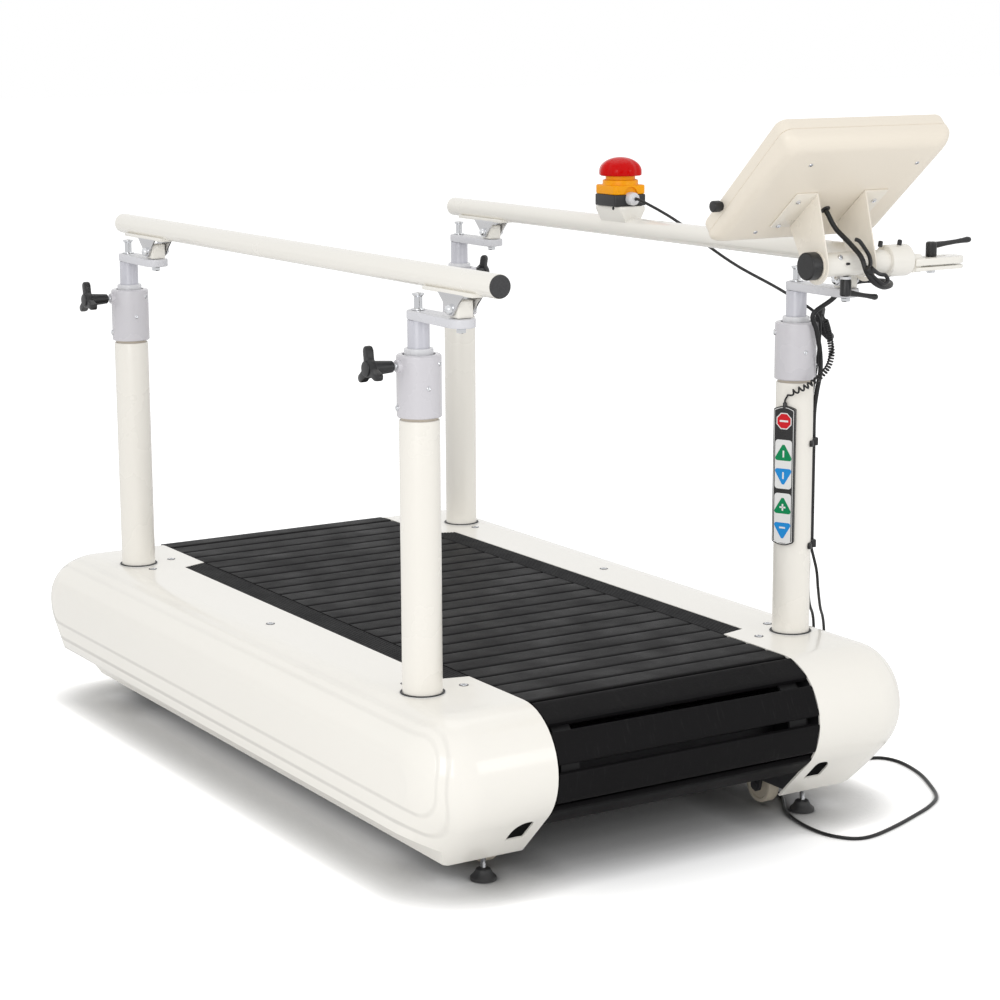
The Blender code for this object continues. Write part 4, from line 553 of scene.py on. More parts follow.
def turned(profile, axis="Z", centre=(0, 0, 0), steps=48):
    """Turn a profile of (radius, height) about an axis. Points on the axis close it."""
    shape = bmesh.new()
    rows = []
    for radius, height in profile:
        ways = spokes(steps) if radius > 1e-7 else [(0, 0)]
        rows.append([shape.verts.new((radius * c, radius * s, height)) for c, s in ways])
    pairs = list(zip(rows, rows[1:]))
    if len(rows[0]) > 1 and len(rows[-1]) > 1:
        pairs.append((rows[-1], rows[0]))
    for low, high in pairs:
        for i in range(max(len(low), len(high))):
            j = (i + 1) % steps
            corners = (low[i % len(low)], low[j % len(low)], high[j % len(high)], high[i % len(high)])
            if len(low) + len(high) > 2:
                shape.faces.new(list(dict.fromkeys(corners)))
    bmesh.ops.recalc_face_normals(shape, faces=shape.faces)
    order = {"X": (2, 0, 1, 3), "Y": (1, 2, 0, 3), "Z": (0, 1, 2, 3)}[axis]
    turn = Matrix([Matrix.Identity(4)[row] for row in order])
    return moved(shape, Matrix.Translation(centre) @ turn)


def pin(radius, low, high, axis="Z", centre=(0, 0, 0), steps=48):
    """Make a plain round bar between two levels."""
    return turned([(0, low), (radius, low), (radius, high), (0, high)], axis, centre, steps)


def as_shape(mesh):
    """Turn a mesh back into a shape."""
    shape = bmesh.new()
    shape.from_mesh(mesh)
    bpy.data.meshes.remove(mesh)
    return shape


def cut(shape, tool):
    """Subtract one closed shape from another."""
    items = [shown("cut", as_mesh(half, "cut")) for half in (shape, tool)]
    step = items[0].modifiers.new("cut", "BOOLEAN")
    step.operation = "DIFFERENCE"
    step.solver = "EXACT"
    step.object = items[1]
    return as_shape(settled(*items))


def side_half(bottom, half_length, top, radius):
    """Outline one end of a side in Y and Z, from its foot up a 45 degree chamfer and round to the top."""
    end = arc((half_length - radius, top - radius), radius, -45.0, 90.0, END_STEPS)
    return [(end[0][0] - (end[0][1] - bottom), bottom)] + end


def fillet_drop(x, radius):
    """Give how far a round edge of the cover has fallen back at one X."""
    run = max(0.0, x - (COVER_WALL_X + PANEL_RAISE - radius))
    return radius - math.sqrt(radius ** 2 - run ** 2)


def cover_ring(x, inset=0.0):
    """Give the side profile of the cover at one X, drawn in by its end and top fillets."""
    skirt = max(0.0, min(x, SKIRT_X) - COVER_FLARE_X) * SKIRT_STEEP
    bottom = COVER_BOTTOM_Z + skirt + max(0.0, x - SKIRT_X) * SKIRT_SHALLOW + inset
    top = DECK_TOP - fillet_drop(x, TOP_FILLET) - inset
    radius = COVER_END_RADIUS - fillet_drop(x, TOP_FILLET) - inset
    halves = []
    for fillet in (REAR_FILLET, PLAN_FILLET):
        halves.append(side_half(bottom, COVER_HALF_LENGTH - fillet_drop(x, fillet) - inset, top, radius))
    rear, front = halves
    return rear + [(-a, b) for a, b in reversed(front)]


def cover_rings():
    """List the cover's rings from the belt outwards: deck, skirt, round shoulder and the side panel."""
    shoulder = COVER_WALL_X + PANEL_RAISE - TOP_FILLET
    levels = [shoulder + TOP_FILLET * math.sin(math.radians(turn)) for turn in range(0, 70, 5)]
    levels = sorted([x for x in levels if abs(x - SKIRT_X) > 0.002] + [COVER_INNER_X, 0.420, 0.429, SKIRT_X])
    rings = [(x, cover_ring(x)) for x in levels if x < COVER_WALL_X]
    rings.append((COVER_WALL_X, cover_ring(COVER_WALL_X)))
    for share in (0.25, 0.5, 0.75, 1.0):
        x = COVER_WALL_X + PANEL_RAISE * math.sin(math.pi / 2 * share)
        rings.append((x, cover_ring(COVER_WALL_X, (PANEL_BORDER + PANEL_SLOPE) * share)))
    return rings


def cover_shell():
    """Loft the cover, thicken it inwards, and cut the post holes, the strip's bed and the slot."""
    rings = cover_rings()
    skin = bmesh.new()
    rows = [[skin.verts.new((x, y, z)) for y, z in ring] for x, ring in rings]
    count = len(rows[0])
    for index, (low, high) in enumerate(zip(rows, rows[1:])):
        closed = rings[index][0] >= COVER_FLARE_X - 0.0001
        for i in range(count if closed else count - 1):
            j = (i + 1) % count
            skin.faces.new((low[i], high[i], high[j], low[j]))
    panel = skin.faces.new(rows[-1])
    bmesh.ops.recalc_face_normals(skin, faces=skin.faces)
    skin.normal_update()
    if panel.normal.x < 0:
        bmesh.ops.reverse_faces(skin, faces=skin.faces)
    item = shown("cover", as_mesh(skin, "cover"))
    shell = item.modifiers.new("wall", "SOLIDIFY")
    shell.thickness = COVER_WALL
    shell.offset = -1.0
    shell.use_even_offset = True
    low = DECK_TOP - CUT_REACH
    high = DECK_TOP + CUT_REACH
    holes = [pin(POST_R + GAP, low, high, "Z", (POST_X, y, 0)) for y in (-POST_Y, POST_Y)]
    holes.append(prism("Z", strip_outline(0.0005, -0.01), low, high))
    holes.append(leaf_cutter())
    return cut(as_shape(settled(item)), gather(*holes))


def strip_outline(room, inner_room):
    """Outline a tread strip in plan, with room left round it."""
    inner = inner_room / (STRIP_OUTER_X - STRIP_INNER_X)
    outer = 1 + room / (STRIP_OUTER_X - STRIP_INNER_X)
    corners = []
    for share in (inner, outer):
        x = STRIP_INNER_X + (STRIP_OUTER_X - STRIP_INNER_X) * share
        corners.append((x, STRIP_FRONT_Y + STRIP_FRONT_SLANT * share - room,
                        STRIP_REAR_Y - STRIP_REAR_SLANT * share + room))
    (x0, front0, rear0), (x1, front1, rear1) = corners
    return [(x0, front0), (x1, front1), (x1, rear1), (x0, rear0)]


def leaf_cutter():
    """Make the leaf-shaped slot through the front chamfer of a cover."""
    x0 = COVER_INNER_X + SLOT_INSET_X
    x1 = x0 + SLOT_WIDTH
    high = 0.003
    low = high + SLOT_HEIGHT
    big = 0.022
    small = 0.007
    leaf = [(x0, low), *arc((x0 + small, high + small), small, 180, 270, 5)]
    leaf += [*arc((x1 - big, high + big), big, -90, 0, 9), (x1, low)]
    return loft([[CHAMFER_CORNER + Vector((a, b, -b)) + CHAMFER_OUT * depth for a, b in leaf]
                 for depth in (-0.012, 0.012)])


cover_gloss = finish("cover_gloss", "cover_cream", (0.89, 0.865, 0.805), 0.20, mottle=0.010, mottle_scale=3.0,
                     grain=0.00006, grain_scale=160.0, rough_spread=0.05, coat=0.25)


def pressed_steps(material, steps):
    """Press soft steps round the side panel into a cover: each rises inside a rounded frame in Y and Z."""
    tree = material.node_tree

    def calc(kind, *values):
        """Work out one step of the sum from numbers and other nodes' outputs."""
        return node(tree, "ShaderNodeMath", dict(enumerate(values)), operation=kind).outputs[0]

    place = node(tree, "ShaderNodeTexCoord").outputs["Object"]
    axes = node(tree, "ShaderNodeSeparateXYZ", {0: place}).outputs
    height = 0.0
    across = calc("ABSOLUTE", calc("SUBTRACT", axes["X"], MIDDLE.x))
    tuck = calc("MULTIPLY", calc("SUBTRACT", COVER_WALL_X + PANEL_RAISE, across), PRESSED_TUCK)
    lower = calc("LESS_THAN", axes["Z"], PRESSED_MIDDLE_Z)
    level = calc("ADD", axes["Z"], calc("MULTIPLY", tuck, lower))
    for low_z, high_z, half_length, radius, width, rise in steps:
        y = calc("ADD", calc("ABSOLUTE", calc("SUBTRACT", axes["Y"], MIDDLE.y)), tuck)
        z = calc("ABSOLUTE", calc("SUBTRACT", level, (low_z + high_z) / 2))
        beyond_y = calc("SUBTRACT", y, half_length - radius)
        beyond_z = calc("SUBTRACT", z, (high_z - low_z) / 2 - radius)
        out_y = calc("MAXIMUM", beyond_y, 0.0)
        out_z = calc("MAXIMUM", beyond_z, 0.0)
        outside = calc("SQRT", calc("ADD", calc("MULTIPLY", out_y, out_y), calc("MULTIPLY", out_z, out_z)))
        inside = calc("MINIMUM", calc("MAXIMUM", beyond_y, beyond_z), 0.0)
        distance = calc("SUBTRACT", calc("ADD", outside, inside), radius)
        ramp = node(tree, "ShaderNodeMapRange", {
            "Value": distance, "From Min": -width / 2, "From Max": width / 2, "To Min": rise, "To Max": 0.0},
            interpolation_type="SMOOTHSTEP")
        height = calc("ADD", ramp.outputs[0], height)
    press = node(tree, "ShaderNodeBump", {"Distance": 1.0, "Height": height})
    grain = tree.nodes["Principled BSDF"].inputs["Normal"].links[0].from_node
    wire(tree, grain, {"Normal": press.outputs[0]})


PRESSED = [(0.135, 0.305, 0.845, 0.068, 0.010, 0.0036), (0.165, 0.291, 0.826, 0.050, 0.010, 0.0032)]
PRESSED_TUCK = 0.5
PRESSED_MIDDLE_Z = 0.22
pressed_steps(cover_gloss, PRESSED)
for end, side in SIDES:
    piece(f"cover_{end}", mirrored(cover_shell(), side), cover_gloss, "base", [f"side_cover_{end}"],
          smooth=28)

DECK_SCREWS = [(-0.403, -0.025), (-0.325, 0.609), (-0.317, -0.605), (0.325, -0.609), (0.398, -0.541)]
DECK_SCREWS += [(0.317, 0.605), (-0.398, 0.541), (0.403, 0.025), (0.398, 0.541), (-0.398, -0.541)]
deck_places = [((x, y, DECK_TOP - 0.0004), (0, 0, 1), (1, 0.4, 0)) for x, y in DECK_SCREWS]
lay("deck_screws", screw_head(0.0068, 0.0020, dome=0.8), deck_places, zinc, "base")
# A dark ring round each screw head is painted shade for the countersink it sits in.
countersink_shade = turned([(0, -0.0002), (0.0088, -0.0002), (0.0084, 0.0006), (0, 0.0006)], steps=28)
lay("deck_countersinks", countersink_shade, [((x, y, DECK_TOP), (0, 0, 1), (1, 0.4, 0)) for x, y in DECK_SCREWS],
    frame_paint, "base")

# A matt black sheet behind each leaf-shaped slot is painted shade, darkening the opening into the cover.
slot_painted_shade = finish("slot_painted_shade", "frame_paint", (0.004, 0.004, 0.004), 0.8, grain=0.0002, shine=0.03)
for end, side in SIDES:
    plate = leaf_cutter()
    for vert in plate.verts:
        depth = (vert.co - CHAMFER_CORNER).dot(CHAMFER_OUT)
        vert.co -= CHAMFER_OUT * (depth + (0.0030 if depth > 0 else 0.0046))
    bmesh.ops.recalc_face_normals(plate, faces=plate.faces)
    piece(f"slot_plate_{end}", mirrored(plate, side), slot_painted_shade, "base")


# Tread strips: black ribbed rubber strips laid flush in the deck beside the belt.
# Their ends are cut at a slant and the fine ribs run along the deck.
strip_rubber = finish("strip_rubber", "black_rubber", (0.014, 0.014, 0.015), 0.62, mottle=0.2,
                      mottle_scale=20.0, grain=0.0006, grain_scale=500.0, shine=0.15)
STRIP_PITCH = 0.0066
STRIP_RIB = 0.0011


def tread_strip():
    """Cut the ribbed strip for the right side."""
    base = DECK_TOP - STRIP_RIB
    shapes = [prism("Z", strip_outline(0, 0), DECK_TOP - COVER_WALL - 0.0005, base)]
    for i in range(int((STRIP_OUTER_X - STRIP_INNER_X) / STRIP_PITCH)):
        x0 = STRIP_INNER_X + (i + 0.2) * STRIP_PITCH
        x1 = x0 + 0.6 * STRIP_PITCH
        share = (x1 - STRIP_INNER_X) / (STRIP_OUTER_X - STRIP_INNER_X)
        front = STRIP_FRONT_Y + STRIP_FRONT_SLANT * share + 0.001
        rear = STRIP_REAR_Y - STRIP_REAR_SLANT * share - 0.001
        rib = [(x0, base - 0.0004), (x1, base - 0.0004), (x1 - 0.0007, DECK_TOP), (x0 + 0.0007, DECK_TOP)]
        shapes.append(prism("Y", rib, front, rear))
    return gather(*shapes)


for end, side in SIDES:
    piece(f"strip_{end}", mirrored(tread_strip(), side), strip_rubber, "base", [f"tread_strip_{end}"])


# Posts: cream powder-coated tubes that stand in the frame's sockets and pass through the deck.
# A black rubber gasket with a thin pale ring closes the hole round each of them.
POST_WALL = 0.003
POST_FLOOR_Z = 0.1003
POST_TOP_Z = 0.7915
GASKET_R = 0.0392


def corners_at(reach_x, reach_y):
    """List the machine's four corners as end, side, X and Y."""
    return [(end, side, reach_x * sx, reach_y * sy)
            for end, sy in (("front", -1), ("rear", 1)) for side, sx in SIDES]


CORNERS = corners_at(POST_X, POST_Y)


def edge(radius, height, bend, start, end, steps=4):
    """Round a profile's corner: a quarter of a circle about (radius, height)."""
    return arc((radius, height), bend, start, end, steps)


powder_cream = finish("powder_cream", "post_cream", (0.86, 0.83, 0.765), 0.26, mottle=0.012, mottle_scale=6.0,
                      grain=0.00012, grain_scale=260.0, rough_spread=0.05, coat=0.3)
pale_ring = finish("pale_ring", "post_cream", (0.66, 0.66, 0.64), 0.35, grain=0.0001)
gasket_rubber = finish("gasket_rubber", "black_rubber", (0.02, 0.02, 0.021), 0.5, grain=0.0003)
post_inner = POST_R - POST_WALL
post_profile = [(POST_R, POST_FLOOR_Z), *edge(POST_R - 0.002, POST_TOP_Z - 0.002, 0.002, 0, 90)]
post_profile += [(post_inner + 0.0005, POST_TOP_Z), (post_inner, POST_TOP_Z - 0.0005),
                 (post_inner, POST_FLOOR_Z)]
gasket_profile = [(POST_R + 0.0001, DECK_TOP - 0.001), (GASKET_R, DECK_TOP - 0.001)]
gasket_profile += [*edge(GASKET_R - 0.0015, DECK_TOP + 0.0013, 0.0015, 0, 90),
                   (POST_R + 0.0012, DECK_TOP + 0.0028)]
gasket_profile += [(POST_R + 0.0001, DECK_TOP + 0.0020)]
ring_profile = [(GASKET_R + 0.0001, DECK_TOP + 0.0001), (GASKET_R + 0.0016, DECK_TOP + 0.0001)]
ring_profile += [(GASKET_R + 0.0014, DECK_TOP + 0.0009), (GASKET_R + 0.0001, DECK_TOP + 0.0010)]
for end, side, x, y in CORNERS:
    post = turned(post_profile, "Z", (x, y, 0), 64)
    piece(f"post_{end}_{side}", post, powder_cream, "base", [f"post_{end}_{side}"])
for name, profile, material in (("gaskets", gasket_profile, gasket_rubber),
                                ("gasket_rims", ring_profile, pale_ring)):
    rings = [turned(profile, "Z", (x, y, 0), 64) for end, side, x, y in CORNERS]
    piece(name, gather(*rings), material, "base")


# Clamp collars: turned metal under lilac-grey paint, plugged into each post and clamping its inner tube.
# Each has a knob boss with its stud, a hexagon-socket bushing and two small cross-head screws.
COLLAR_R = 0.0385
COLLAR_BOTTOM_Z = 0.7965
COLLAR_TOP_Z = 0.903
FLANGE_R = 0.025
FLANGE_TOP_Z = 0.913
SPIGOT_BOTTOM_Z = 0.7215
SPIGOT_R = 0.0317
BORE_R = 0.0193
KNOB_Z = 0.885
COLLAR_EDGE = 0.0045
RECESS_R = 0.0285
RECESS_Z = COLLAR_TOP_Z - 0.003

lilac_grey = finish("lilac_grey", "grey_paint", (0.62, 0.605, 0.635), 0.26, mottle=0.02, mottle_scale=12.0,
                    grain=0.00008, grain_scale=300.0, coat=0.4)
flange_grey = finish("flange_grey", "grey_paint", (0.70, 0.70, 0.72), 0.24, grain=0.00006, coat=0.3)
# A darker beige paints the shade in the gap between each post's top and its collar.
gap_shade_beige = finish("gap_shade_beige", "grey_paint", (0.52, 0.46, 0.38), 0.40, grain=0.0001)
# Near-black for the black bolts and screws, and painted shade for the collars' recesses.
black_bolts_and_recess_shade = finish("black_bolts_and_recess_shade", "black_plastic", (0.02, 0.02, 0.022), 0.6, grain=0.0001)
chrome = finish("chrome", "steel", (0.72, 0.73, 0.75), 0.10, 1.0, mottle=0.03, grain=0.00002,
                rough_spread=0.04)


def around(x, y, reach, turn_angle, z):
    """Give a point and its outward direction beside a vertical axis."""
    a = math.radians(turn_angle)
    out = Vector((math.cos(a), math.sin(a), 0))
    return Vector((x, y, z)) + out * reach, out


def collar_body(x, y, knob_turn):
    """Turn a collar with the spigot that goes down into the post, and the boss of its knob."""
    profile = [(COLLAR_R - 0.0015, COLLAR_BOTTOM_Z), (COLLAR_R, COLLAR_BOTTOM_Z + 0.0015)]
    profile += edge(COLLAR_R - COLLAR_EDGE, COLLAR_TOP_Z - COLLAR_EDGE, COLLAR_EDGE, 0, 90, 6)
    profile += [(RECESS_R + 0.0005, COLLAR_TOP_Z), (RECESS_R, COLLAR_TOP_Z - 0.0005), (RECESS_R, RECESS_Z)]
    profile += [(BORE_R, RECESS_Z), (BORE_R, SPIGOT_BOTTOM_Z), (SPIGOT_R, SPIGOT_BOTTOM_Z)]
    profile += [(SPIGOT_R, POST_TOP_Z + GAP), (SPIGOT_R, COLLAR_BOTTOM_Z)]
    boss = turned([(0, 0.030), (0.011, 0.030), *edge(0.009, 0.0425, 0.002, 0, 90), (0.0065, 0.0445),
                   (0.0060, 0.0438), (0, 0.0438)], "X", (0, 0, KNOB_Z), 40)
    return turned(profile, "Z", (x, y, 0), 72), shifted(moved(boss, turn_about("Z", knob_turn)), x, y)


COLLAR_KNOBS = {"left": 180.0, "right": 25.0}
COLLAR_SCREWS = {"left": ((-95, 0.848), (-55, 0.888)), "right": ((-100, 0.849), (-30, 0.820))}
COLLAR_BUSH = {"left": (169.0, 0.813), "right": (150.0, 0.883)}
screws = []
domes = []
for end, side, x, y in CORNERS:
    body, boss = collar_body(x, y, COLLAR_KNOBS[side])
    piece(f"collar_{end}_{side}", gather(body, boss), lilac_grey, "base", [f"collar_{end}_{side}"])
    flange = [(BORE_R, RECESS_Z), (FLANGE_R, RECESS_Z),
              *edge(FLANGE_R - 0.002, FLANGE_TOP_Z - 0.002, 0.002, 0, 90, 5)]
    flange += [(BORE_R + 0.001, FLANGE_TOP_Z), (BORE_R, FLANGE_TOP_Z - 0.001)]
    # The band filling that gap carries the painted shade.
    neck = [(SPIGOT_R - 0.0005, POST_TOP_Z - 0.001), (SPIGOT_R + 0.0001, POST_TOP_Z + GAP)]
    neck += [(SPIGOT_R + 0.0001, COLLAR_BOTTOM_Z + 0.001), (SPIGOT_R - 0.0005, COLLAR_BOTTOM_Z + 0.001)]
    # A thin dark ring on the recess floor, round the flange, is painted shade in the recess.
    shade = [(BORE_R, RECESS_Z - 0.0001), (RECESS_R, RECESS_Z - 0.0001)]
    shade += [(RECESS_R, RECESS_Z + 0.0008), (BORE_R, RECESS_Z + 0.0008)]
    for name, profile, material in (("flange", flange, flange_grey), ("neck", neck, gap_shade_beige),
                                    ("recess", shade, black_bolts_and_recess_shade)):
        piece(f"collar_{name}_{end}_{side}", turned(profile, "Z", (x, y, 0), 64), material, "base")
    for turn_angle, z in COLLAR_SCREWS[side]:
        place, out = around(x, y, COLLAR_R - 0.0006, turn_angle, z)
        screws.append((place, out, (0.3, 0.1, 1)))
    turn_angle, z = COLLAR_BUSH[side]
    place, out = around(x, y, COLLAR_R - 0.0008, turn_angle, z)
    domes.append((place, out, (0.2, 0.2, 1)))
lay("collar_screws", screw_head(0.0042, 0.0022, dome=0.8), screws, chrome, "base")
lay("collar_bushings", screw_head(0.0056, 0.0036, "hexagon", dome=0.3, steps=36), domes, chrome, "base")


# Inner tubes: bright grey tubes that slide in the posts, each with a pivot and a chromed cap bolt on top.
# The flat links turn on the pivots and carry the hand rails at their outer ends.
TUBE_R = 0.019
TUBE_BOTTOM_Z = 0.550
LINK_Z = 0.961
LINK_THICK = 0.016
LINK_LENGTH = 0.140
LINK_INNER_R = 0.020
LINK_OUTER_R = 0.024
PIVOT_R = 0.006
tube_grey = finish("tube_grey", "grey_paint", (0.58, 0.58, 0.63), 0.24, mottle=0.02, grain=0.00006, coat=0.3)
link_grey = finish("link_grey", "grey_paint", (0.66, 0.66, 0.69), 0.28, mottle=0.02, mottle_scale=20.0,
                   grain=0.00008)


def nut(radius, low, high):
    """Make a six-sided nut with chamfered corners, its axis along Z."""
    chamfer = 0.0012
    levels = ((0.90, low), (1.0, low + chamfer), (1.0, high - chamfer), (0.90, high))
    return loft([[(radius * share * c, radius * share * s, z) for c, s in spokes(6)] for share, z in levels])


LINK_TOP_Z = LINK_Z + LINK_THICK
LINK_SEAT_Z = LINK_TOP_Z + GAP
for end, side, x, y in CORNERS:
    tube = [(0, TUBE_BOTTOM_Z), (TUBE_R, TUBE_BOTTOM_Z),
            *edge(TUBE_R - 0.0015, LINK_Z - 0.0018, 0.0015, 0, 90)]
    tube += [(PIVOT_R, LINK_Z - GAP), (PIVOT_R, LINK_TOP_Z), (0, LINK_TOP_Z)]
    piece(f"inner_tube_{end}_{side}", turned(tube, "Z", (x, y, 0), 56), tube_grey, f"tube_{end}_{side}",
          [f"inner_tube_{end}_{side}"])
    bolt = [(0, 0), (0.012, 0), *edge(0.0112, 0.0012, 0.0008, 0, 90, 3), (0.0086, 0.002), (0.0072, 0.003)]
    bolt += [(0.0072, 0.0215), (0.0100, 0.0245), *edge(0.0095, 0.0271, 0.0009, 0, 90, 3), (0.0052, 0.0278)]
    bolt += [(0.0046, 0.0268), (0, 0.0268)]
    piece(f"cap_bolt_{end}_{side}", turned(bolt, "Z", (x, y, LINK_SEAT_Z), 40), chrome, f"tube_{end}_{side}")
    outline = arc((x, y), LINK_INNER_R, 0, 180, 20) + arc((x, y - LINK_LENGTH), LINK_OUTER_R, 180, 360, 20)
    plate = rounded(prism("Z", outline, LINK_Z + 0.0004, LINK_TOP_Z - 0.0004), 0.0018, 3)
    holes = [pin(radius, LINK_Z - CUT_REACH, LINK_TOP_Z + CUT_REACH, "Z", (x, hole_y, 0), 32)
             for radius, hole_y in ((PIVOT_R + 0.0008, y), (0.0053, y - LINK_LENGTH))]
    piece(f"link_{end}_{side}", cut(plate, gather(*holes)), link_grey, f"link_{end}_{side}",
          [f"link_{end}_{side}"])


# Star knobs: black moulded knobs with three arms on zinc studs that press on the inner tubes.
KNOB_ARM = 0.038
KNOB_REACH = 0.094
KNOB_THICK = 0.014
KNOB_PHASE = 99.0
KNOB_POINTS = 96
KNOB_HALF = 0.0066
KNOB_VALLEY_R = 0.0160
black_moulding = finish("black_moulding", "black_plastic", (0.012, 0.012, 0.013), 0.33, mottle=0.2,
                        mottle_scale=60.0, grain=0.00025, grain_scale=700.0, rough_spread=0.07)


def star_reach(angle):
    """Give a star knob's outline radius at an angle from the middle of an arm."""
    d = abs((math.degrees(angle) + 60) % 120 - 60)
    a = math.radians(d)
    centre = KNOB_ARM - KNOB_HALF
    inside = KNOB_HALF ** 2 - (centre * math.sin(a)) ** 2
    arm = centre * math.cos(a) + math.sqrt(inside) if inside > 0 else KNOB_HALF * 0.985 / math.sin(a)
    if arm * math.cos(a) < centre:
        arm = min(arm, KNOB_HALF / math.sin(a))
    return (arm ** 6 + KNOB_VALLEY_R ** 6) ** (1 / 6)


def star_knob(x, y, turn_angle):
    """Shape a three-armed knob that points along X, then turn it to its side of the collar."""
    near = KNOB_REACH - KNOB_THICK / 2
    far = near + KNOB_THICK
    rings = []
    for share, level in ((0.90, near), (0.965, near + 0.001), (1.0, near + 0.0035), (1.0, far - 0.0035),
                         (0.965, far - 0.001), (0.90, far), (0.5, far + 0.0004)):
        ring = []
        for i, (c, s) in enumerate(spokes(KNOB_POINTS, math.radians(KNOB_PHASE))):
            r = star_reach(2 * math.pi * i / KNOB_POINTS) - (1 - share) * 0.026
            ring.append((level, r * c, KNOB_Z + r * s))
        rings.append(ring)
    hub = [(0, COLLAR_R + 0.012), (0.008, COLLAR_R + 0.012), (0.010, COLLAR_R + 0.014),
           (0.0128, near + 0.002)]
    hub += [(0.013, far + 0.0008), *edge(0.0112, far + 0.0012, 0.0018, 0, 90), (0, far + 0.003)]
    spin = Matrix.Translation((x, y, 0)) @ turn_about("Z", turn_angle)
    return moved(gather(loft(rings), turned(hub, "X", (0, 0, KNOB_Z), 40)), spin), spin


def thread_profile(radius, depth, low, high, start, pitch, turns):
    """Profile a threaded bar: an even row of ridges between two flat ends."""
    ridges = [(0, low)]
    for i in range(turns):
        ridges += [(radius - depth, start + i * pitch), (radius, start + (i + 0.5) * pitch)]
    return [*ridges, (radius - depth, high), (0, high)]


STUD_R = 0.004
stud = thread_profile(STUD_R, 0.0004, TUBE_R + GAP, COLLAR_R + 0.0155, TUBE_R + 0.0005, 0.0012, 28)
for end, side, x, y in CORNERS:
    knob, spin = star_knob(x, y, COLLAR_KNOBS[side])
    piece(f"star_knob_{end}_{side}", knob, black_moulding, f"knob_{end}_{side}", [f"clamp_knob_{end}_{side}"])
    piece(f"knob_stud_{end}_{side}", moved(turned(stud, "X", (0, 0, KNOB_Z), 24), spin), zinc,
          f"knob_{end}_{side}")


# Hand rails: cream powder-coated tubes along both sides. Under each hangs a saddle with two steel ears
# round a cream clevis block, a chromed cross bolt, and a bolt down through the link with its nut below.
RAIL_Z = 1.0385
RAIL_R = 0.020
RAIL_WALL = 0.0025
LEFT_RAIL_FRONT_Y = -0.8664
RAIL_REAR_Y = 0.630
CLEVIS_HALF = 0.015
CLEVIS_TOP_Z = 1.007
CLEVIS_PIVOT_Z = (LINK_SEAT_Z + CLEVIS_TOP_Z) / 2
EAR_HALF = 0.0205
EAR_WALL = 0.004
PLUG_DEPTH = 0.020
BAR_Y = -0.824
BAR_Z = 1.030
BAR_R = 0.021
rail_cream = finish("rail_cream", "rail_cream", (0.85, 0.825, 0.765), 0.24, mottle=0.012, mottle_scale=7.0,
                    grain=0.0001, grain_scale=260.0, rough_spread=0.05, coat=0.3)
ear_steel = finish("ear_steel", "steel", (0.66, 0.66, 0.67), 0.24, 1.0, grain=0.00006)


def rail_saddle(x, y, front, rear):
    """Bend the saddle plate that cradles a rail's underside and carries the ears."""
    low = RAIL_Z - RAIL_R - 0.002
    high = RAIL_Z - RAIL_R + 0.005
    return rounded(block(x - EAR_HALF, x + EAR_HALF, y - front, y + rear, low, high), 0.0016)


def rail_ears(x, y):
    """Cut the two ears beside a clevis block."""
    bottom = RAIL_Z - RAIL_R
    waist = CLEVIS_PIVOT_Z + 0.010
    outline = arc((y, CLEVIS_PIVOT_Z), 0.011, 200, 340, 12)
    outline += [(y + 0.024, waist), (y + 0.042, bottom), (y - 0.042, bottom), (y - 0.024, waist)]
    ears = []
    for sign in (-1, 1):
        a, b = sorted((x + sign * (EAR_HALF - EAR_WALL + 0.0004), x + sign * EAR_HALF))
        ears.append(rounded(prism("X", outline, a, b), 0.0007))
    return ears


def rail_bolts(x, y):
    """Make the cross bolt with its dome and nut, and the bolt that goes down through the link."""
    pivot = (x, y, CLEVIS_PIVOT_Z)
    dome = [(0, 0.0095), (0.003, 0.0093), (0.0062, 0.0076), (0.0078, 0.005), (0.0084, 0.0018),
            (0.0085, -0.0005)]
    dome = [(radius, -EAR_HALF - height) for radius, height in [*dome, (0, -0.0005)]]
    side_nut = moved(nut(0.0085, EAR_HALF - 0.0002, EAR_HALF + 0.0056), turn_about("Y", 90))
    thread = [(0, EAR_HALF + 0.004), (0.0045, EAR_HALF + 0.004), (0.0045, EAR_HALF + 0.0072)]
    thread += [(0.0036, EAR_HALF + 0.008), (0, EAR_HALF + 0.008)]
    tip = [(0, LINK_Z - 0.0093), (0.0036, LINK_Z - 0.0093), (0.0044, LINK_Z - 0.0086)]
    tip += [(0.0044, LINK_SEAT_Z + 0.004), (0, LINK_SEAT_Z + 0.004)]
    low_nut = shifted(nut(0.009, LINK_Z - 0.0083, LINK_Z - 0.0014), x, y)
    washer = pin(0.0108, LINK_Z - 0.0014, LINK_Z - 0.0004, "Z", (x, y, 0), 32)
    return [turned(dome, "X", pivot, 32), shifted(side_nut, *pivot), turned(thread, "X", pivot, 24),
            low_nut, washer, turned(tip, "Z", (x, y, 0), 24)]


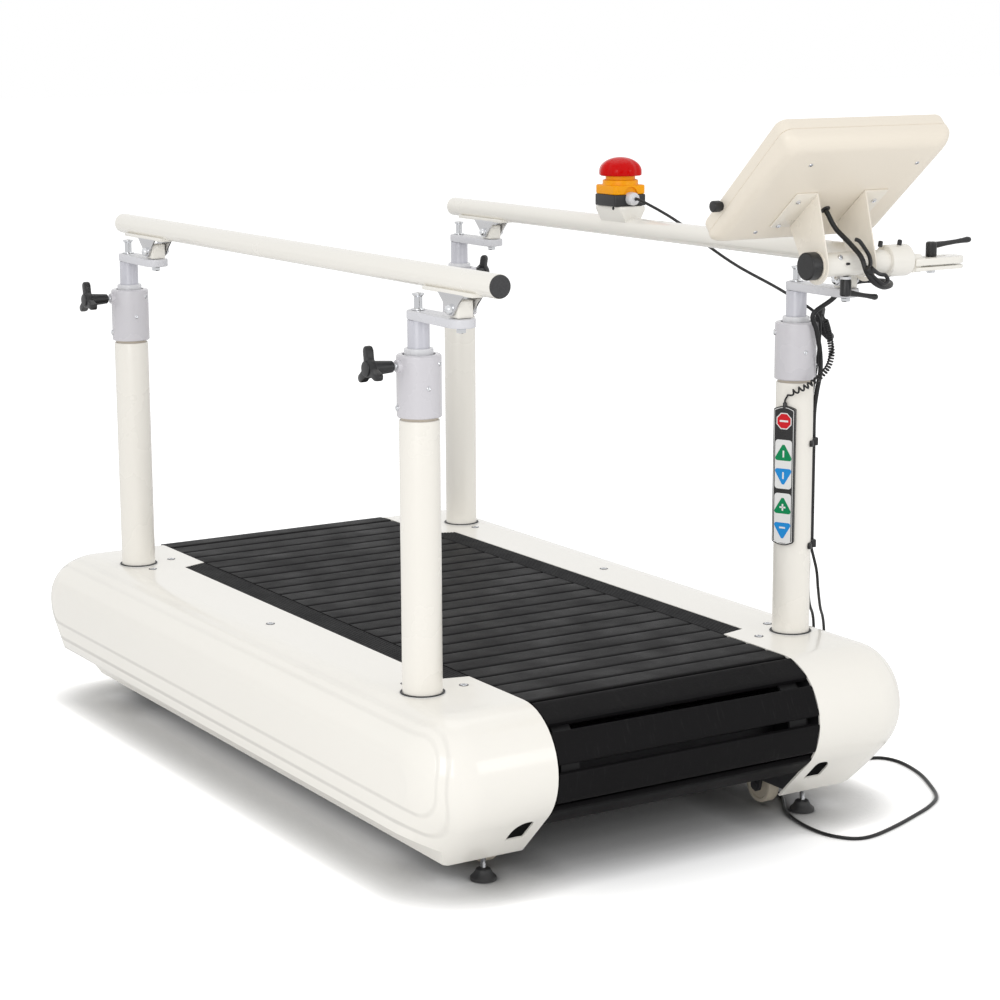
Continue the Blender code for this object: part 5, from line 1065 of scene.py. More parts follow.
SADDLE_HALF_X = 0.0305
SADDLE_HALF_Y = 0.045
SADDLE_TOP_Z = 1.081
SADDLE_REACH = {("front", "left"): (0.069, 0.092), ("front", "right"): (0.0595, 0.092),
                ("rear", "left"): (0.072, 0.108), ("rear", "right"): (0.072, 0.108)}
STOP_Y = -0.033
for side, sx in SIDES:
    x = sx * POST_X
    cream = []
    steel = []
    bolts = []
    for end, y0 in (("front", -POST_Y), ("rear", POST_Y)):
        y = y0 - LINK_LENGTH
        cream.append(rail_saddle(x, y, *SADDLE_REACH[end, side]))
        clevis = block(-CLEVIS_HALF, CLEVIS_HALF, -CLEVIS_HALF, CLEVIS_HALF, LINK_SEAT_Z, CLEVIS_TOP_Z)
        cream.append(rounded(shifted(clevis, x, y), 0.0028, 3))
        steel += rail_ears(x, y)
        bolts += rail_bolts(x, y)
    rear_end = [(RAIL_R, RAIL_REAR_Y - 0.006), *edge(RAIL_R - 0.005, RAIL_REAR_Y - 0.0055, 0.005, 0, 80, 6)]
    rear_end.append((0, RAIL_REAR_Y))
    if side == "left":
        start = LEFT_RAIL_FRONT_Y
        seat = start + PLUG_DEPTH + GAP
        inner = RAIL_R - RAIL_WALL
        front_end = [(0, seat), (inner, seat), (inner, start)]
    else:
        start = BAR_Y + BAR_R + GAP
        front_end = [(0, start)]
        bend_z = SADDLE_TOP_Z - 0.008
        outline = [(SADDLE_HALF_X, SADDLE_TOP_Z), (SADDLE_HALF_X, bend_z), (RAIL_R - 0.004, RAIL_Z + 0.008)]
        outline = [(-a, b) for a, b in outline[:1]] + outline + [(-a, b) for a, b in reversed(outline[1:])]
        saddle = rounded(prism("Y", outline, STOP_Y - SADDLE_HALF_Y, STOP_Y + SADDLE_HALF_Y), 0.0022, 3)
        cream.append(shifted(saddle, POST_X, 0))
    profile = [*front_end, (RAIL_R - 0.0006, start), (RAIL_R, start + 0.0006), *rear_end]
    tube = turned(profile, "Y", (x, 0, RAIL_Z), 64)
    piece(f"rail_{side}", gather(tube, *cream), rail_cream, f"rail_{side}", [f"handrail_{side}"])
    piece(f"rail_ears_{side}", gather(*steel), ear_steel, f"rail_{side}")
    piece(f"rail_bolts_{side}", gather(*bolts), chrome, f"rail_{side}")
saddle_screw = (POST_X - SADDLE_HALF_X + 0.0002, STOP_Y - 0.020, SADDLE_TOP_Z - 0.004)
lay("saddle_screws", screw_head(0.0035, 0.0015), [(saddle_screw, (-1, 0, 0), (0, 0.6, 1))], black_bolts_and_recess_shade,
    "rail_right")

# The left rail's open end is closed by a black speckled plug.
plug_r = RAIL_R - RAIL_WALL - GAP
plug = [(0, -0.0038), (RAIL_R - 0.0046, -0.0040), *edge(RAIL_R - 0.0026, -0.0024, 0.0016, -90, 0)]
plug += [(RAIL_R - 0.001, -GAP), (plug_r, -GAP), (plug_r, PLUG_DEPTH), (0, PLUG_DEPTH)]
speckled = finish("speckled", "black_plastic", (0.03, 0.03, 0.032), 0.5, mottle=0.7, mottle_scale=260.0,
                  grain=0.0006)
piece("rail_plug", turned(plug, "Y", (-POST_X, LEFT_RAIL_FRONT_Y, RAIL_Z), 56), speckled, "rail_left",
      ["rail_plug_left"])


# Crossbar: a cream bar on the right rail's front end. It has two bush rings under the display's ears,
# a thick clamp body on the right with two black bolts, and a black cap on its left end.
BAR_LEFT_X = 0.266
BAR_BODY_X = 0.4225
BAR_BODY_R = 0.0285
BAR_RIGHT_X = 0.472
BAR_CAP_R = 0.0245
BAR_CAP_LENGTH = 0.020
BUSH_R = 0.0245
BUSH_WIDTH = 0.010
BUSH_SHIFT = 0.003
EAR_LEFT_X = 0.2715
EAR_RIGHT_X = 0.378
BAR_EDGE = 0.003
bar_profile = [(0, BAR_LEFT_X + GAP), (BAR_R, BAR_LEFT_X + GAP)]
for x in (EAR_LEFT_X + BUSH_SHIFT, EAR_RIGHT_X - BUSH_SHIFT):
    low = x - BUSH_WIDTH / 2
    high = x + BUSH_WIDTH / 2
    bar_profile += [(BAR_R, low), (BUSH_R - 0.0006, low), (BUSH_R, low + 0.0006), (BUSH_R, high - 0.0006),
                    (BUSH_R - 0.0006, high), (BAR_R, high)]
bar_profile.append((BAR_R, BAR_BODY_X))
bar_profile += edge(BAR_BODY_R - BAR_EDGE, BAR_BODY_X + BAR_EDGE, BAR_EDGE, -90, 0, 5)
bar_profile += [*edge(BAR_BODY_R - BAR_EDGE, BAR_RIGHT_X - BAR_EDGE, BAR_EDGE, 0, 90, 5), (0, BAR_RIGHT_X)]
piece("crossbar_tube", turned(bar_profile, "X", (0, BAR_Y, BAR_Z), 64), rail_cream, "rail_right",
      ["crossbar"])
cap_x = BAR_LEFT_X - BAR_CAP_LENGTH
cap = [(0, cap_x), (BAR_CAP_R - 0.006, cap_x),
       *edge(BAR_CAP_R - BAR_EDGE, cap_x + BAR_EDGE, BAR_EDGE, -90, 0, 5)]
cap += [(BAR_CAP_R, BAR_LEFT_X), (0, BAR_LEFT_X)]
piece("crossbar_end_cap", turned(cap, "X", (0, BAR_Y, BAR_Z), 56), black_moulding, "rail_right",
      ["crossbar_cap"])


def on_bar(x, lean, radius):
    """Give a place round the bar, leaned forward from its top, that faces away from the bar's axis."""
    out = Vector((0, -math.sin(math.radians(lean)), math.cos(math.radians(lean))))
    return Vector((x, BAR_Y, BAR_Z)) + out * radius, out, (1, 0, 0)


body_bolts = [on_bar(x, 12, BAR_BODY_R - 0.0012) for x in (0.408, 0.452)]
lay("body_bolts", screw_head(0.0042, 0.0100, "hexagon", dome=0.15, steps=36), body_bolts, black_bolts_and_recess_shade,
    "rail_right")
lay("ear_bolt", screw_head(0.0052, 0.0042, dome=0.9), [on_bar(0.310, 50, BAR_R - 0.0006)], chrome,
    "rail_right")
lay("split_pin", screw_head(0.0024, 0.0070), [on_bar(0.322, 84, BAR_R - 0.0006)], black_bolts_and_recess_shade, "rail_right")


# Display: a cream two-part housing tilted back, its rear shell rounded and its front with a dark screen.
# A folded steel bracket with two ears round the crossbar carries it; screws close the back.
DISPLAY_X = 0.311
DISPLAY_TILT = 42.0
DISPLAY_WIDTH = 0.365
DISPLAY_LENGTH = 0.290
SEAM_RISE = 0.0792
SEAM_STAND_OFF = 0.1238
SHELL_DEPTH_TOP = 0.035
SHELL_DEPTH_BOTTOM = 0.022
FRONT_DEPTH = 0.025
DISPLAY_CORNER = 0.018
SCREEN_BORDER = 0.030
SCREEN_CORNER = 0.004
SHEET = 0.003
EAR_R = 0.033
FLANGE_LEFT_X = 0.226
FLANGE_RIGHT_X = 0.429
SIDE_KNOB_R = 0.010
GROMMET = (0.322, 0.048)
tilt = math.radians(DISPLAY_TILT)
TO_DISPLAY = Matrix((
    (-1, 0, 0, DISPLAY_X),
    (0, -math.cos(tilt), math.sin(tilt), BAR_Y),
    (0, math.sin(tilt), math.cos(tilt), BAR_Z),
    (0, 0, 0, 1),
))


def shell_back(rise):
    """Give the depth of the display's back at a height."""
    share = (rise - (SEAM_RISE - DISPLAY_LENGTH / 2)) / DISPLAY_LENGTH
    return SEAM_STAND_OFF - SHELL_DEPTH_BOTTOM - (SHELL_DEPTH_TOP - SHELL_DEPTH_BOTTOM) * share


def round_rectangle(width, length, radius, steps=8):
    """Outline a rectangle with round corners about its middle."""
    points = []
    for sx, sy, start in ((1, 1, 0), (-1, 1, 90), (-1, -1, 180), (1, -1, 270)):
        points += arc((sx * (width / 2 - radius), sy * (length / 2 - radius)), radius, start, start + 90,
                      steps)
    return points


def display_ring(inset, radius, height=0.0, sunk=0.0):
    """Outline the display, drawn in, raised over its seam or sunk a share of the way down to its back."""
    ring = []
    for x, y in round_rectangle(DISPLAY_WIDTH - 2 * inset, DISPLAY_LENGTH - 2 * inset, radius):
        rise = SEAM_RISE + y
        ring.append((x, rise, SEAM_STAND_OFF + height - (SEAM_STAND_OFF - shell_back(rise)) * sunk))
    return ring


display_cream = finish("display_cream", "display_cream", (0.84, 0.77, 0.66), 0.38, mottle=0.012,
                       mottle_scale=8.0, grain=0.00022, grain_scale=420.0)
bracket_paint = finish("bracket_paint", "bracket_cream", (0.84, 0.79, 0.70), 0.30, mottle=0.012,
                       mottle_scale=8.0, grain=0.0001, grain_scale=260.0, coat=0.2)
screen_dark = finish("screen_dark", "black_plastic", (0.014, 0.016, 0.018), 0.10, mottle=0.1, grain=0.00002,
                     coat=0.3)
shell = [display_ring(inset, DISPLAY_CORNER + inset * 0.3, sunk=share) for inset, share in (
    (0.0012, 0.0), (0.0, 0.035), (0.0, 0.30), (0.0010, 0.42), (0.0028, 0.54), (0.005, 0.66), (0.0085, 0.79),
    (0.013, 0.90), (0.018, 0.965), (0.024, 1.0))]
piece("display_back", moved(loft(shell), TO_DISPLAY), display_cream, "display", ["display_shell"])
bezel = [display_ring(inset, max(SCREEN_CORNER, DISPLAY_CORNER - inset * 0.5), height) for inset, height in (
    (0.0022, 0.0004), (0.0012, 0.0014), (0.0012, 0.017), (0.0020, 0.0205), (0.0040, 0.0238),
    (0.0070, FRONT_DEPTH), (SCREEN_BORDER - 0.0015, FRONT_DEPTH), (SCREEN_BORDER, FRONT_DEPTH - 0.0010),
    (SCREEN_BORDER + 0.0018, FRONT_DEPTH - 0.0030))]
piece("display_bezel", moved(loft(bezel), TO_DISPLAY), display_cream, "display", ["display_front"])
glass = [display_ring(SCREEN_BORDER + 0.0022, SCREEN_CORNER, FRONT_DEPTH - sunk) for sunk in (0.0031, 0.0024)]
piece("display_screen", moved(loft(glass), TO_DISPLAY), screen_dark, "display")
tilt_knob = [(0, -0.002), (SIDE_KNOB_R - 0.002, -0.002), (SIDE_KNOB_R - 0.002, 0.003), (SIDE_KNOB_R, 0.004)]
tilt_knob += [*edge(SIDE_KNOB_R - 0.002, 0.016, 0.002, 0, 90), (0, 0.018)]
spindle = turned(tilt_knob, "X", (DISPLAY_WIDTH / 2, 0.004, SEAM_STAND_OFF + FRONT_DEPTH / 2), 36)
piece("display_side_knob", moved(spindle, TO_DISPLAY), black_moulding, "display")


def fold_bracket():
    """Fold the bracket: two gussets with ears round the bar, two flanges on the shell and a lower web."""
    low_rise = -0.013
    high_rise = 0.084
    flat_low = shell_back(low_rise) - GAP
    flat_high = shell_back(high_rise) - GAP
    ear_left = DISPLAY_X - EAR_LEFT_X
    ear_right = DISPLAY_X - EAR_RIGHT_X
    gusset = [*arc((0, 0), EAR_R, 180, 330, 24), (high_rise, flat_high), (low_rise, flat_low),
              (-EAR_R, 0.010)]
    flange = [(low_rise, flat_low), (high_rise, flat_high)]
    flange += [(high_rise, flat_high - SHEET), (low_rise, flat_low - SHEET)]
    shapes = []
    for outline, x0, x1 in ((gusset, ear_left - SHEET / 2, ear_left + SHEET / 2),
                            (gusset, ear_right - SHEET / 2, ear_right + SHEET / 2),
                            (flange, ear_left - SHEET / 4, DISPLAY_X - FLANGE_LEFT_X),
                            (flange, DISPLAY_X - FLANGE_RIGHT_X, ear_right + SHEET / 4)):
        shapes.append(rounded(prism("X", outline, x0, x1), 0.0006))
    web = [(low_rise, BUSH_R + 0.012), (low_rise + SHEET, BUSH_R + 0.012)]
    web += [(low_rise + SHEET, flat_low - SHEET), (low_rise, flat_low - SHEET)]
    shapes.append(prism("X", web, ear_right, ear_left))
    bores = [pin(BUSH_R + 0.0008, x - 0.004, x + 0.004, "X") for x in (ear_left, ear_right)]
    bracket = cut(gather(*shapes), gather(*bores))
    bmesh.ops.recalc_face_normals(bracket, faces=bracket.faces)
    return moved(bracket, TO_DISPLAY)


piece("display_bracket_sheet", fold_bracket(), bracket_paint, "display", ["display_bracket"])


def on_back(x, d, sunk=0.0006):
    """Give a place on the display's back, d below the seam's middle, facing away from the screen."""
    rise = SEAM_RISE - d
    slope = (SHELL_DEPTH_TOP - SHELL_DEPTH_BOTTOM) / DISPLAY_LENGTH
    point = TO_DISPLAY @ Vector((DISPLAY_X - x, rise, shell_back(rise) + sunk))
    out = (TO_DISPLAY.to_3x3() @ Vector((0, -slope, -1))).normalized()
    return point, out, (1, 0.3, 0)


back_screws = [on_back(x, d) for x, d in ((0.205, -0.086), (0.444, -0.079), (0.205, 0.108), (0.436, 0.105))]
lay("back_screws", screw_head(0.0044, 0.0018, dome=0.8), back_screws, zinc, "display")
bolt_places = ((0.241, 0.017), (0.240, 0.086), (0.414, 0.024), (0.414, 0.086))
flange_bolts = [on_back(x, d, -SHEET - 0.0001) for x, d in bolt_places]
lay("flange_bolts", screw_head(0.0048, 0.0028, "hexagon", dome=0.3, steps=36), flange_bolts, chrome,
    "display")
point, out, along = on_back(*GROMMET)
grommet = turned([(0.0036, -0.001), (0.009, -0.001), (0.009, 0.001), *edge(0.0075, 0.0015, 0.0015, 0, 90),
                  (0.0046, 0.0036), (0.0036, 0.0030)], steps=36)
grommet = moved(grommet, Matrix.Translation(point) @ out.to_track_quat("Z", "Y").to_matrix().to_4x4())
piece("display_grommet", grommet, gasket_rubber, "display")


# Clamp levers: black moulded hubs with an arm and a ball end. One hangs under the crossbar, the other
# tightens the slotted side arm, a pair of cream plates bolted to the bar's end.
LEVER_HUB_R = 0.010
TILT_LEVER_X = 0.337
ARM_LEVER_X = 0.532
ARM_TOP_Z = 1.032
ARM_UPPER_THICK = 0.0125
ARM_BOTTOM_Z = 1.010
ARM_LOWER_THICK = 0.0065
ARM_HALF_WIDTH = 0.025
ARM_END_X = 0.600


def lever_handle(reach, hub_z, rise):
    """Shape a lever's arm along X: a tapering bar from its hub to a thicker rounded end."""
    rings = []
    for share, width, height in ((0.0, 0.0050, 0.0062), (0.12, 0.0050, 0.0060), (0.35, 0.0042, 0.0046),
                                 (0.62, 0.0040, 0.0042), (0.80, 0.0046, 0.0048), (0.90, 0.0050, 0.0056),
                                 (0.96, 0.0044, 0.0050), (0.99, 0.0030, 0.0036), (1.0, 0.0012, 0.0014)):
        x = reach * share
        z = hub_z + rise * min(1.0, share / 0.9)
        rings.append([(x, width * c, z + height * s) for c, s in spokes(20)])
    return loft(rings)


seat = BAR_Z - BAR_R - GAP
bottom = seat - 0.036
hub = [(0, seat), (0.005, seat), (0.005, seat - 0.006), (0.0092, seat - 0.006), (LEVER_HUB_R, seat - 0.008),
       (LEVER_HUB_R, bottom + 0.004), *arc((LEVER_HUB_R - 0.004, bottom + 0.004), 0.004, 0, -90, 6),
       (0.003, bottom), (0, bottom + 0.001)]
tilt_parts = gather(turned(hub, steps=36), lever_handle(0.073, bottom + 0.0070, -0.012))
piece("tilt_clamp_lever", shifted(tilt_parts, TILT_LEVER_X, BAR_Y), black_moulding, "tilt_lever",
      ["tilt_lever"])
disc = [(0.005, seat - 0.0010), (0.0098, seat - 0.0010), (0.0098, seat - 0.0055), (0.005, seat - 0.0055)]
piece("tilt_lever_washer", turned(disc, "Z", (TILT_LEVER_X, BAR_Y, 0), 36), flange_grey, "tilt_lever")
top = ARM_TOP_Z + 0.027
hub = [(0, ARM_TOP_Z + GAP), (0.0092, ARM_TOP_Z + GAP), (LEVER_HUB_R, ARM_TOP_Z + 0.002),
       (LEVER_HUB_R, top - 0.004), *arc((LEVER_HUB_R - 0.004, top - 0.004), 0.004, 0, 90, 6), (0.0035, top),
       (0.0032, top - 0.0015), (0, top - 0.0015)]
arm_parts = gather(turned(hub, steps=36), lever_handle(0.093, top - 0.0075, 0.0065))
piece("arm_clamp_lever", shifted(arm_parts, ARM_LEVER_X, BAR_Y), black_moulding, "arm_lever", ["arm_lever"])
low = ARM_BOTTOM_Z - 0.0008
head = turned([(0, top - 0.0014), (0.0032, top - 0.0014), (0.0032, top - 0.0004), (0.002, top), (0, top)],
              steps=24)
arm_bolt = gather(pin(STUD_R, ARM_TOP_Z + 0.001, low, steps=24), nut(0.0085, low - 0.006, low), head)
piece("arm_lever_bolt", shifted(arm_bolt, ARM_LEVER_X, BAR_Y), chrome, "arm_lever")

near = BAR_RIGHT_X + GAP
tip = (ARM_END_X - ARM_HALF_WIDTH, BAR_Y)
outline = [(near + 0.004, BAR_Y - ARM_HALF_WIDTH), *arc(tip, ARM_HALF_WIDTH, -90, 90, 24),
           (near + 0.004, BAR_Y + ARM_HALF_WIDTH)]
slot = arc((ARM_LEVER_X + 0.030, BAR_Y), STUD_R + 0.001, -90, 90, 10)
slot += arc((ARM_LEVER_X - 0.020, BAR_Y), STUD_R + 0.001, 90, 270, 10)
plates = []
for z0, z1 in ((ARM_TOP_Z - ARM_UPPER_THICK, ARM_TOP_Z), (ARM_BOTTOM_Z, ARM_BOTTOM_Z + ARM_LOWER_THICK)):
    plate = rounded(prism("Z", outline, z0, z1), 0.0014, 3)
    plates.append(cut(plate, prism("Z", slot, z0 - CUT_REACH / 2, z1 + CUT_REACH / 2)))
root = block(near, near + 0.022, BAR_Y - 0.020, BAR_Y + 0.020, ARM_BOTTOM_Z - 0.002, ARM_TOP_Z + 0.008)
plates.append(rounded(root, 0.003, 3))
piece("slotted_side_arm", gather(*plates), rail_cream, "rail_right", ["side_arm"])


# Emergency stop: a black box with a cable gland, a yellow lid with a raised ring, and a red fluted
# mushroom button that is pushed down. It sits on the right rail's saddle.
STOP_SIZE = 0.076
STOP_BASE_HEIGHT = 0.0227
LID_HEIGHT = 0.0187
LID_RING_R = 0.036
LID_RING_HEIGHT = 0.010
BUTTON_STEM_R = 0.030
BUTTON_R = 0.0435
BUTTON_TRAVEL = 0.006
BUTTON_HEIGHT = 0.037
GLAND_R = 0.0135
GLAND_LENGTH = 0.017
stop_yellow = finish("stop_yellow", "stop_yellow", (0.95, 0.38, 0.0015), 0.32, mottle=0.03, mottle_scale=20.0,
                     grain=0.0001, grain_scale=400.0, shine=0.2)
stop_red = finish("stop_red", "stop_red", (0.60, 0.002, 0.002), 0.16, mottle=0.04, mottle_scale=20.0,
                  grain=0.00004, shine=0.13)
box_black = finish("box_black", "black_plastic", (0.016, 0.016, 0.018), 0.38, grain=0.0002, grain_scale=600.0)
z0 = SADDLE_TOP_Z + GAP
z1 = z0 + STOP_BASE_HEIGHT
box_shape = rounded(prism("Z", round_rectangle(STOP_SIZE, STOP_SIZE, 0.006, 6), z0, z1), 0.0014, 3)
piece("stop_box", shifted(box_shape, POST_X, STOP_Y), box_black, "rail_right", ["estop_enclosure"])
face = -STOP_SIZE / 2
gland_z = z0 + STOP_BASE_HEIGHT * 0.66
gland = [(0, face + 0.004), (GLAND_R, face + 0.004)]
gland += [(GLAND_R * wide, face - GLAND_LENGTH * out)
          for wide, out in ((1.0, 0.5), (0.95, 0.72), (0.72, 0.97), (0.62, 1.0))]
gland += [(0.0040, face - GLAND_LENGTH), (0.0036, face - GLAND_LENGTH + 0.004),
          (0, face - GLAND_LENGTH + 0.004)]
piece("stop_gland", turned(gland, "Y", (POST_X, STOP_Y, gland_z), 12), flange_grey, "rail_right", smooth=50)
z0 = z1 + GAP
z1 = z0 + LID_HEIGHT
ring_top = z1 + LID_RING_HEIGHT
lid = rounded(prism("Z", round_rectangle(STOP_SIZE, STOP_SIZE, 0.010, 8), z0, z1), 0.0030, 4)
ring = [(BUTTON_STEM_R + 0.0004, z1 - 0.004), (LID_RING_R + 0.0008, z1 - 0.004),
        (LID_RING_R + 0.0004, z1 + 0.0006), (LID_RING_R, z1 + 0.002),
        *edge(LID_RING_R - 0.0025, ring_top - 0.0025, 0.0025, 0, 90, 5), (BUTTON_STEM_R + 0.0010, ring_top),
        (BUTTON_STEM_R + 0.0004, ring_top - 0.0006)]
hole = pin(BUTTON_STEM_R + GAP, z0 - CUT_REACH / 2, z1 + CUT_REACH, steps=64)
arch_r = 0.0165
arch = [(-arch_r, z0 - 0.001), *reversed(arc((0, z0 - 0.001), arch_r, 0, 180, 16)[:-1])]
lid = cut(lid, gather(hole, prism("Y", arch, face - 0.002, face + 0.0042)))
lid = gather(lid, turned(ring, steps=64))
piece("stop_cover", shifted(lid, POST_X, STOP_Y), stop_yellow, "rail_right", ["estop_lid"])
under = ring_top + BUTTON_TRAVEL + 0.002
profile = [(0, under), (BUTTON_R - 0.003, under)]
profile += [*arc((BUTTON_R - 0.003, under + 0.003), 0.003, -75, 0, 4), (BUTTON_R, under + 0.009)]
for step in range(1, 15):
    a = math.radians(90 * step / 15)
    profile.append((BUTTON_R * math.cos(a), under + 0.009 + (BUTTON_HEIGHT - 0.009) * math.sin(a)))
button = turned([*profile, (0, under + BUTTON_HEIGHT)], steps=96)
FLUTES = 8
for vert in button.verts:
    reach = math.hypot(vert.co.x, vert.co.y)
    if reach > BUTTON_STEM_R + 0.001 or (vert.co.z > under + 0.012 and reach > 0.004):
        share = min(1.0, max(0.0, (reach - 0.010) / 0.022))
        wave = 0.5 - 0.5 * math.cos(FLUTES * math.atan2(vert.co.y, vert.co.x) + 0.6)
        dip = 1 - 0.050 * share * wave ** 2
        vert.co.x *= dip
        vert.co.y *= dip
piece("stop_mushroom", shifted(button, POST_X, STOP_Y), stop_red, "stop_button", ["estop_button"])
stem = pin(BUTTON_STEM_R, z1 + 0.001, under, steps=56)
piece("stop_stem", shifted(stem, POST_X, STOP_Y), stop_yellow, "stop_button")


# Keypad: a black membrane panel let on to the front right post, with a white outline, a red octagon
# and four keys marked by plain triangles with a plus, a minus or a bar. Two clips hold the cables.
KEYPAD_TURN = 206.0
KEYPAD_WIDTH = 0.044
KEYPAD_BOTTOM_Z = 0.488
KEYPAD_TOP_Z = 0.750
KEYPAD_FACE_R = 0.043
CLIP_Z = (0.678, 0.484)
ARCH_STEPS = 12
TO_KEYPAD = Matrix.Translation((POST_X, -POST_Y, 0)) @ turn_about("Z", KEYPAD_TURN)
keypad_black = finish("keypad_black", "black_plastic", (0.011, 0.011, 0.012), 0.26, grain=0.00008,
                      grain_scale=500.0)
print_white = finish("print_white", "black_plastic", (0.80, 0.80, 0.79), 0.35, mottle=0.01, grain=0.00002)
print_red, print_green, print_blue = [
    finish("print_" + name, "black_plastic", colour, 0.35, mottle=0.02, grain=0.00002, shine=0.2)
    for name, colour in (
        ("red", (0.62, 0.012, 0.020)), ("green", (0.0, 0.24, 0.085)), ("blue", (0.015, 0.27, 0.68)))]


def arched_outline(half, low, high, drop):
    """Outline an upright panel whose top and bottom ends are arched."""
    levels = [-half + 2 * half * i / ARCH_STEPS for i in range(ARCH_STEPS + 1)]
    points = [(y, low + drop * (y / half) ** 2) for y in levels]
    return points + [(-y, high - drop * (y / half) ** 2) for y in levels]


BOARD_TAPER = 0.80
half = KEYPAD_WIDTH / 2
board = prism("X", arched_outline(half, KEYPAD_BOTTOM_Z, KEYPAD_TOP_Z, 0.006), POST_R - 0.012, KEYPAD_FACE_R)
board = rounded(board, 0.0016, 3, 40)
for vert in board.verts:
    if vert.co.x < KEYPAD_FACE_R - 0.0045:
        vert.co.y *= BOARD_TAPER
board = cut(board, pin(POST_R + GAP, KEYPAD_BOTTOM_Z - CUT_REACH, KEYPAD_TOP_Z + CUT_REACH, steps=64))
socket = [(0, -0.006), (0.004, -0.006), (0.004, 0.005), (0.003, 0.007), (0, 0.007)]
socket = turned(socket, "Z", (POST_R + 0.0055, 0, KEYPAD_TOP_Z), 24)
piece("keypad_board", moved(gather(board, socket), TO_KEYPAD), keypad_black, "base", ["keypad_panel"])
PRINT = 0.00015
PRINT_ROOT = 0.0003


def printed(name, outlines, material, layer=1):
    """Lay flat printed shapes on the keypad's face."""
    level = KEYPAD_FACE_R + PRINT * layer
    shapes = [prism("X", outline, KEYPAD_FACE_R - PRINT_ROOT, level) for outline in outlines]
    piece(name, moved(gather(*shapes), TO_KEYPAD), material, "base")


def frame_strips(outline, width):
    """Turn a closed outline into a thin printed line made of short quads."""
    middle = (sum(p[0] for p in outline) / len(outline), sum(p[1] for p in outline) / len(outline))
    low = min(p[1] for p in outline)
    high = max(p[1] for p in outline)
    reach = max(abs(p[0] - middle[0]) for p in outline)
    inner = []
    for a, b in outline:
        inner.append((middle[0] + (a - middle[0]) * (1 - width / reach),
                      middle[1] + (b - middle[1]) * (1 - width / ((high - low) / 2))))
    strips = []
    for i in range(len(outline)):
        j = (i + 1) % len(outline)
        strips.append([outline[i], outline[j], inner[j], inner[i]])
    return strips


def octagon(radius):
    """Outline the stop sign on the keypad."""
    return [(radius * c, 0.722 + radius * s) for c, s in spokes(8, math.pi / 8)]


def key_outline(level, length):
    """Outline one of the two white fields, each with a pair of keys."""
    return [(a, level + b) for a, b in round_rectangle(0.034, length, 0.006, 5)]


INSET = 0.0022
border = arched_outline(half - INSET, KEYPAD_BOTTOM_Z + INSET, KEYPAD_TOP_Z - INSET, 0.0055)
white = frame_strips(border, 0.0010)
white += [octagon(0.0165), key_outline(0.641, 0.092), key_outline(0.5395, 0.094)]
printed("keypad_white", white, print_white)
printed("keypad_red", [octagon(0.0145)], print_red, 2)


def arrow(z, up):
    """Outline a broad triangle with a rounded base and a blunt tip."""
    way = 1 if up else -1
    points = [(0.0022 * way, z + 0.0168 * way), (0.0148 * way, z - 0.0040 * way)]
    points += [(a * way, z + b * way) for a, b in arc((0.0122, -0.0085), 0.0045, 20, -90, 5)]
    points += [(-a, b) for a, b in reversed(points)]
    return points


def bar(half_width, half_length, z):
    """Outline a plain printed bar."""
    return [(-half_width, z - half_length), (half_width, z - half_length),
            (half_width, z + half_length), (-half_width, z + half_length)]


printed("keypad_green", [arrow(0.661, True), arrow(0.561, True)], print_green, 2)
printed("keypad_blue", [arrow(0.620, False), arrow(0.518, False)], print_blue, 2)
marks = [bar(0.0016, 0.0064, z) for z in (0.6605, 0.6200, 0.5600)]
marks += [bar(0.0060, 0.0016, z) for z in (0.5600, 0.5215)]
printed("keypad_marks", [*marks, bar(0.0085, 0.0017, 0.7220)], print_white, 3)
clips = []
for z in CLIP_Z:
    band = arc((0, 0), POST_R + 0.0025, -72, -24, 12) + arc((0, 0), POST_R + 0.0002, -24, -72, 12)
    strap = rounded(prism("Z", band, z - 0.0050, z + 0.0050), 0.0006)
    head = rounded(block(POST_R, POST_R + 0.0100, -0.0060, 0.0060, z - 0.0075, z + 0.0075), 0.0016)
    lug = rounded(block(POST_R, POST_R + 0.0060, -0.0040, 0.0040, z - 0.0065, z + 0.0035), 0.0012)
    clip = gather(strap, moved(head, turn_about("Z", -30)), moved(lug, turn_about("Z", -68)))
    clips.append(shifted(clip, POST_X, -POST_Y))
piece("cable_clips", gather(*clips), keypad_black, "base")


# Levelling feet: black rubber cones on threaded zinc stems, locked against the frame by nuts.
FOOT_X = 0.348
FOOT_Y = 0.7175
FOOT_R = 0.023
STEM_R = 0.005
pad = [(0, 0), (FOOT_R - 0.001, 0), (FOOT_R, 0.001), (FOOT_R, 0.0055), (FOOT_R - 0.0015, 0.0072),
       (0.017, 0.0115), (0.0140, 0.0165), (0.0128, 0.0195), (0.0105, 0.0210), (STEM_R, 0.0218), (0, 0.0218)]
stem = thread_profile(STEM_R, 0.0005, 0.0215, 0.0727, 0.0217, 0.0015, 34)
for end, side, x, y in corners_at(FOOT_X, FOOT_Y):
    piece(f"foot_pad_{end}_{side}", turned(pad, "Z", (x, y, 0), 48), gasket_rubber, f"foot_{end}_{side}",
          [f"foot_{end}_{side}"])
    stem_and_nut = gather(turned(stem, steps=24), nut(0.0095, 0.0427, 0.0527))
    piece(f"foot_stem_{end}_{side}", shifted(stem_and_nut, x, y), zinc, f"foot_{end}_{side}")


